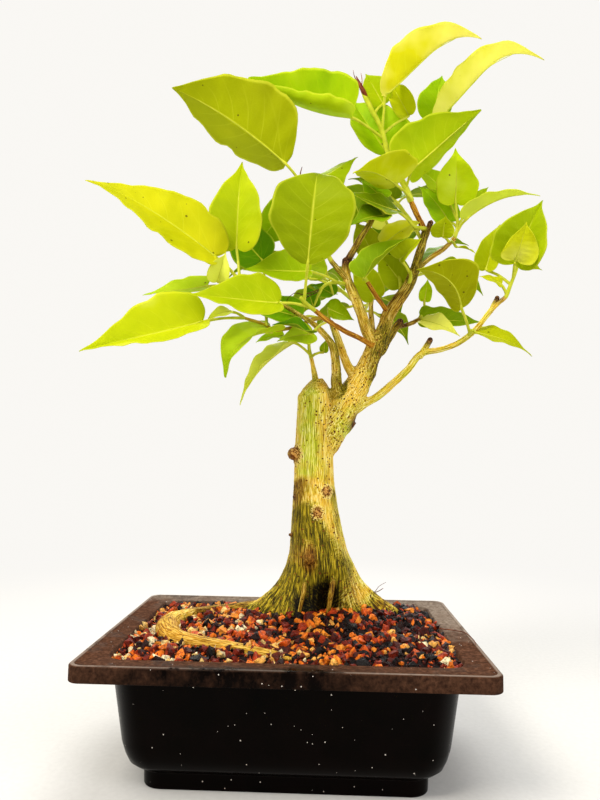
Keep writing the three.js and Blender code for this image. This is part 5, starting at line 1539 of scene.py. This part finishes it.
def makeCrown():
    materials = [figLeaf(), greenShoot()]
    for name, spray in sprays.items():
        makeSpray(name, spray["stem"], spray["leaves"], materials)
    for name, (stem, *habit) in backShoots.items():
        makeSpray(name, stem, spiralLeaves(stem, *habit), materials)


# A plain pale studio: a floor that fades to haze in the distance, and three soft lamps, each with
# its place and target in metres, its size and its power. The viewpoint was fitted to the corners
# of the pot; its focal length is in pixels of the frame's height, and its angles are in radians.

studio = dict(
    floor=[(-4000, -3000, 0), (4000, -3000, 0), (4000, 5000, 0), (-4000, 5000, 0)],
    floorColour=[(0.3, "#d0cfcc"), (0.7, "#d5d4d1")], fade=(0.25, 1.1), haze="#fdfbf7", hazeStrength=0.97,
    skyStrength=0.7,
    lamps=[
        ("window", (-0.8, -0.9, 1.6), (0, 0, 0.3), 0.8, 29, "#fff9ee"),
        ("fill", (1.3, -1.0, 0.9), (0, 0, 0.3), 0.9, 9, "#fdfcff"),
        ("behind", (0.1, 1.3, 1.5), (0, 0, 0.4), 0.9, 24, "#ffffff"),
    ],
)
viewpoint = dict(place=(0.0247, -0.5581, 0.2491), yaw=0.03498, pitch=0.09093, roll=0.01465,
                 focalPixels=624.4, framePixels=800, sensor=24)


def areaLight(name, place, target, size, power, colour):
    lamp = bpy.data.lights.new(name, "AREA")
    lamp.shape, lamp.size, lamp.energy = "DISK", size, power
    lamp.color = linear(colour)[:3]
    made = placeObject(name, lamp)
    made.location = place
    made.rotation_euler = (Vector(target) - Vector(place)).to_track_quat("-Z", "Y").to_euler()


def makeStage():
    material, node = newMaterial("pale matt paint")
    place = node("TexCoord").outputs["Object"]
    grain = node("TexNoise", {"Vector": place, "Scale": 220, "Detail": 2})
    tint = node("ValToRGB", {0: grain}, ramp=studio["floorColour"])
    skin = node("BsdfPrincipled", {"Base Color": tint, "Roughness": 0.9, "Specular IOR Level": 0.0})
    hazy = {"Color": linear(studio["haze"]), "Strength": studio["hazeStrength"]}
    haze = node("Emission", hazy)
    far = node("VectorMath", {0: place}, operation="LENGTH").outputs["Value"]
    start, end = studio["fade"]
    away = node("MapRange", {0: far, 1: start, 2: end}, interpolation_type="SMOOTHSTEP")
    both = node("MixShader", {0: away, 1: skin, 2: haze})
    node("OutputMaterial", {"Surface": both})
    meshObject("floor", studio["floor"], [(0, 1, 2, 3)], [material], smooth=False)

    world = bpy.data.worlds.new("soft room")
    bpy.context.scene.world = world
    world.use_nodes = True
    world.node_tree.nodes.clear()
    node = partial(addNode, world.node_tree)
    sky = node("Background", hazy | {"Strength": studio["skyStrength"]})
    wall = node("Background", hazy)
    seen = node("LightPath").outputs["Is Camera Ray"]
    both = node("MixShader", {0: seen, 1: sky, 2: wall})
    node("OutputWorld", {"Surface": both})
    for lamp in studio["lamps"]:
        areaLight(*lamp)


def makeCamera():
    eye = bpy.data.cameras.new("camera")
    eye.sensor_fit, eye.sensor_height = "VERTICAL", viewpoint["sensor"]
    eye.lens = viewpoint["focalPixels"] / viewpoint["framePixels"] * viewpoint["sensor"]
    yaw, pitch, roll = viewpoint["yaw"], viewpoint["pitch"], viewpoint["roll"]
    ahead = Vector((-math.sin(yaw) * math.cos(pitch), math.cos(yaw) * math.cos(pitch), math.sin(pitch)))
    level = ahead.cross(Vector((0, 0, 1))).normalized()
    upright = level.cross(ahead)
    right = level * math.cos(roll) + upright * math.sin(roll)
    up = upright * math.cos(roll) - level * math.sin(roll)
    made = placeObject("camera", eye)
    made.matrix_world = Matrix.Translation(viewpoint["place"]) @ Matrix(
        (right, up, -ahead)).transposed().to_4x4()
    bpy.context.scene.camera = made


print("camera, light and floor")
makeCamera()
makeStage()
print("pot")
makePot()
print("soil")
makeSoil()
makeLitter()
print("trunk and branches")
makeWood()
print("leaves")
makeCrown()

display = bpy.context.scene.view_settings
display.view_transform, display.look = "Standard", "None"
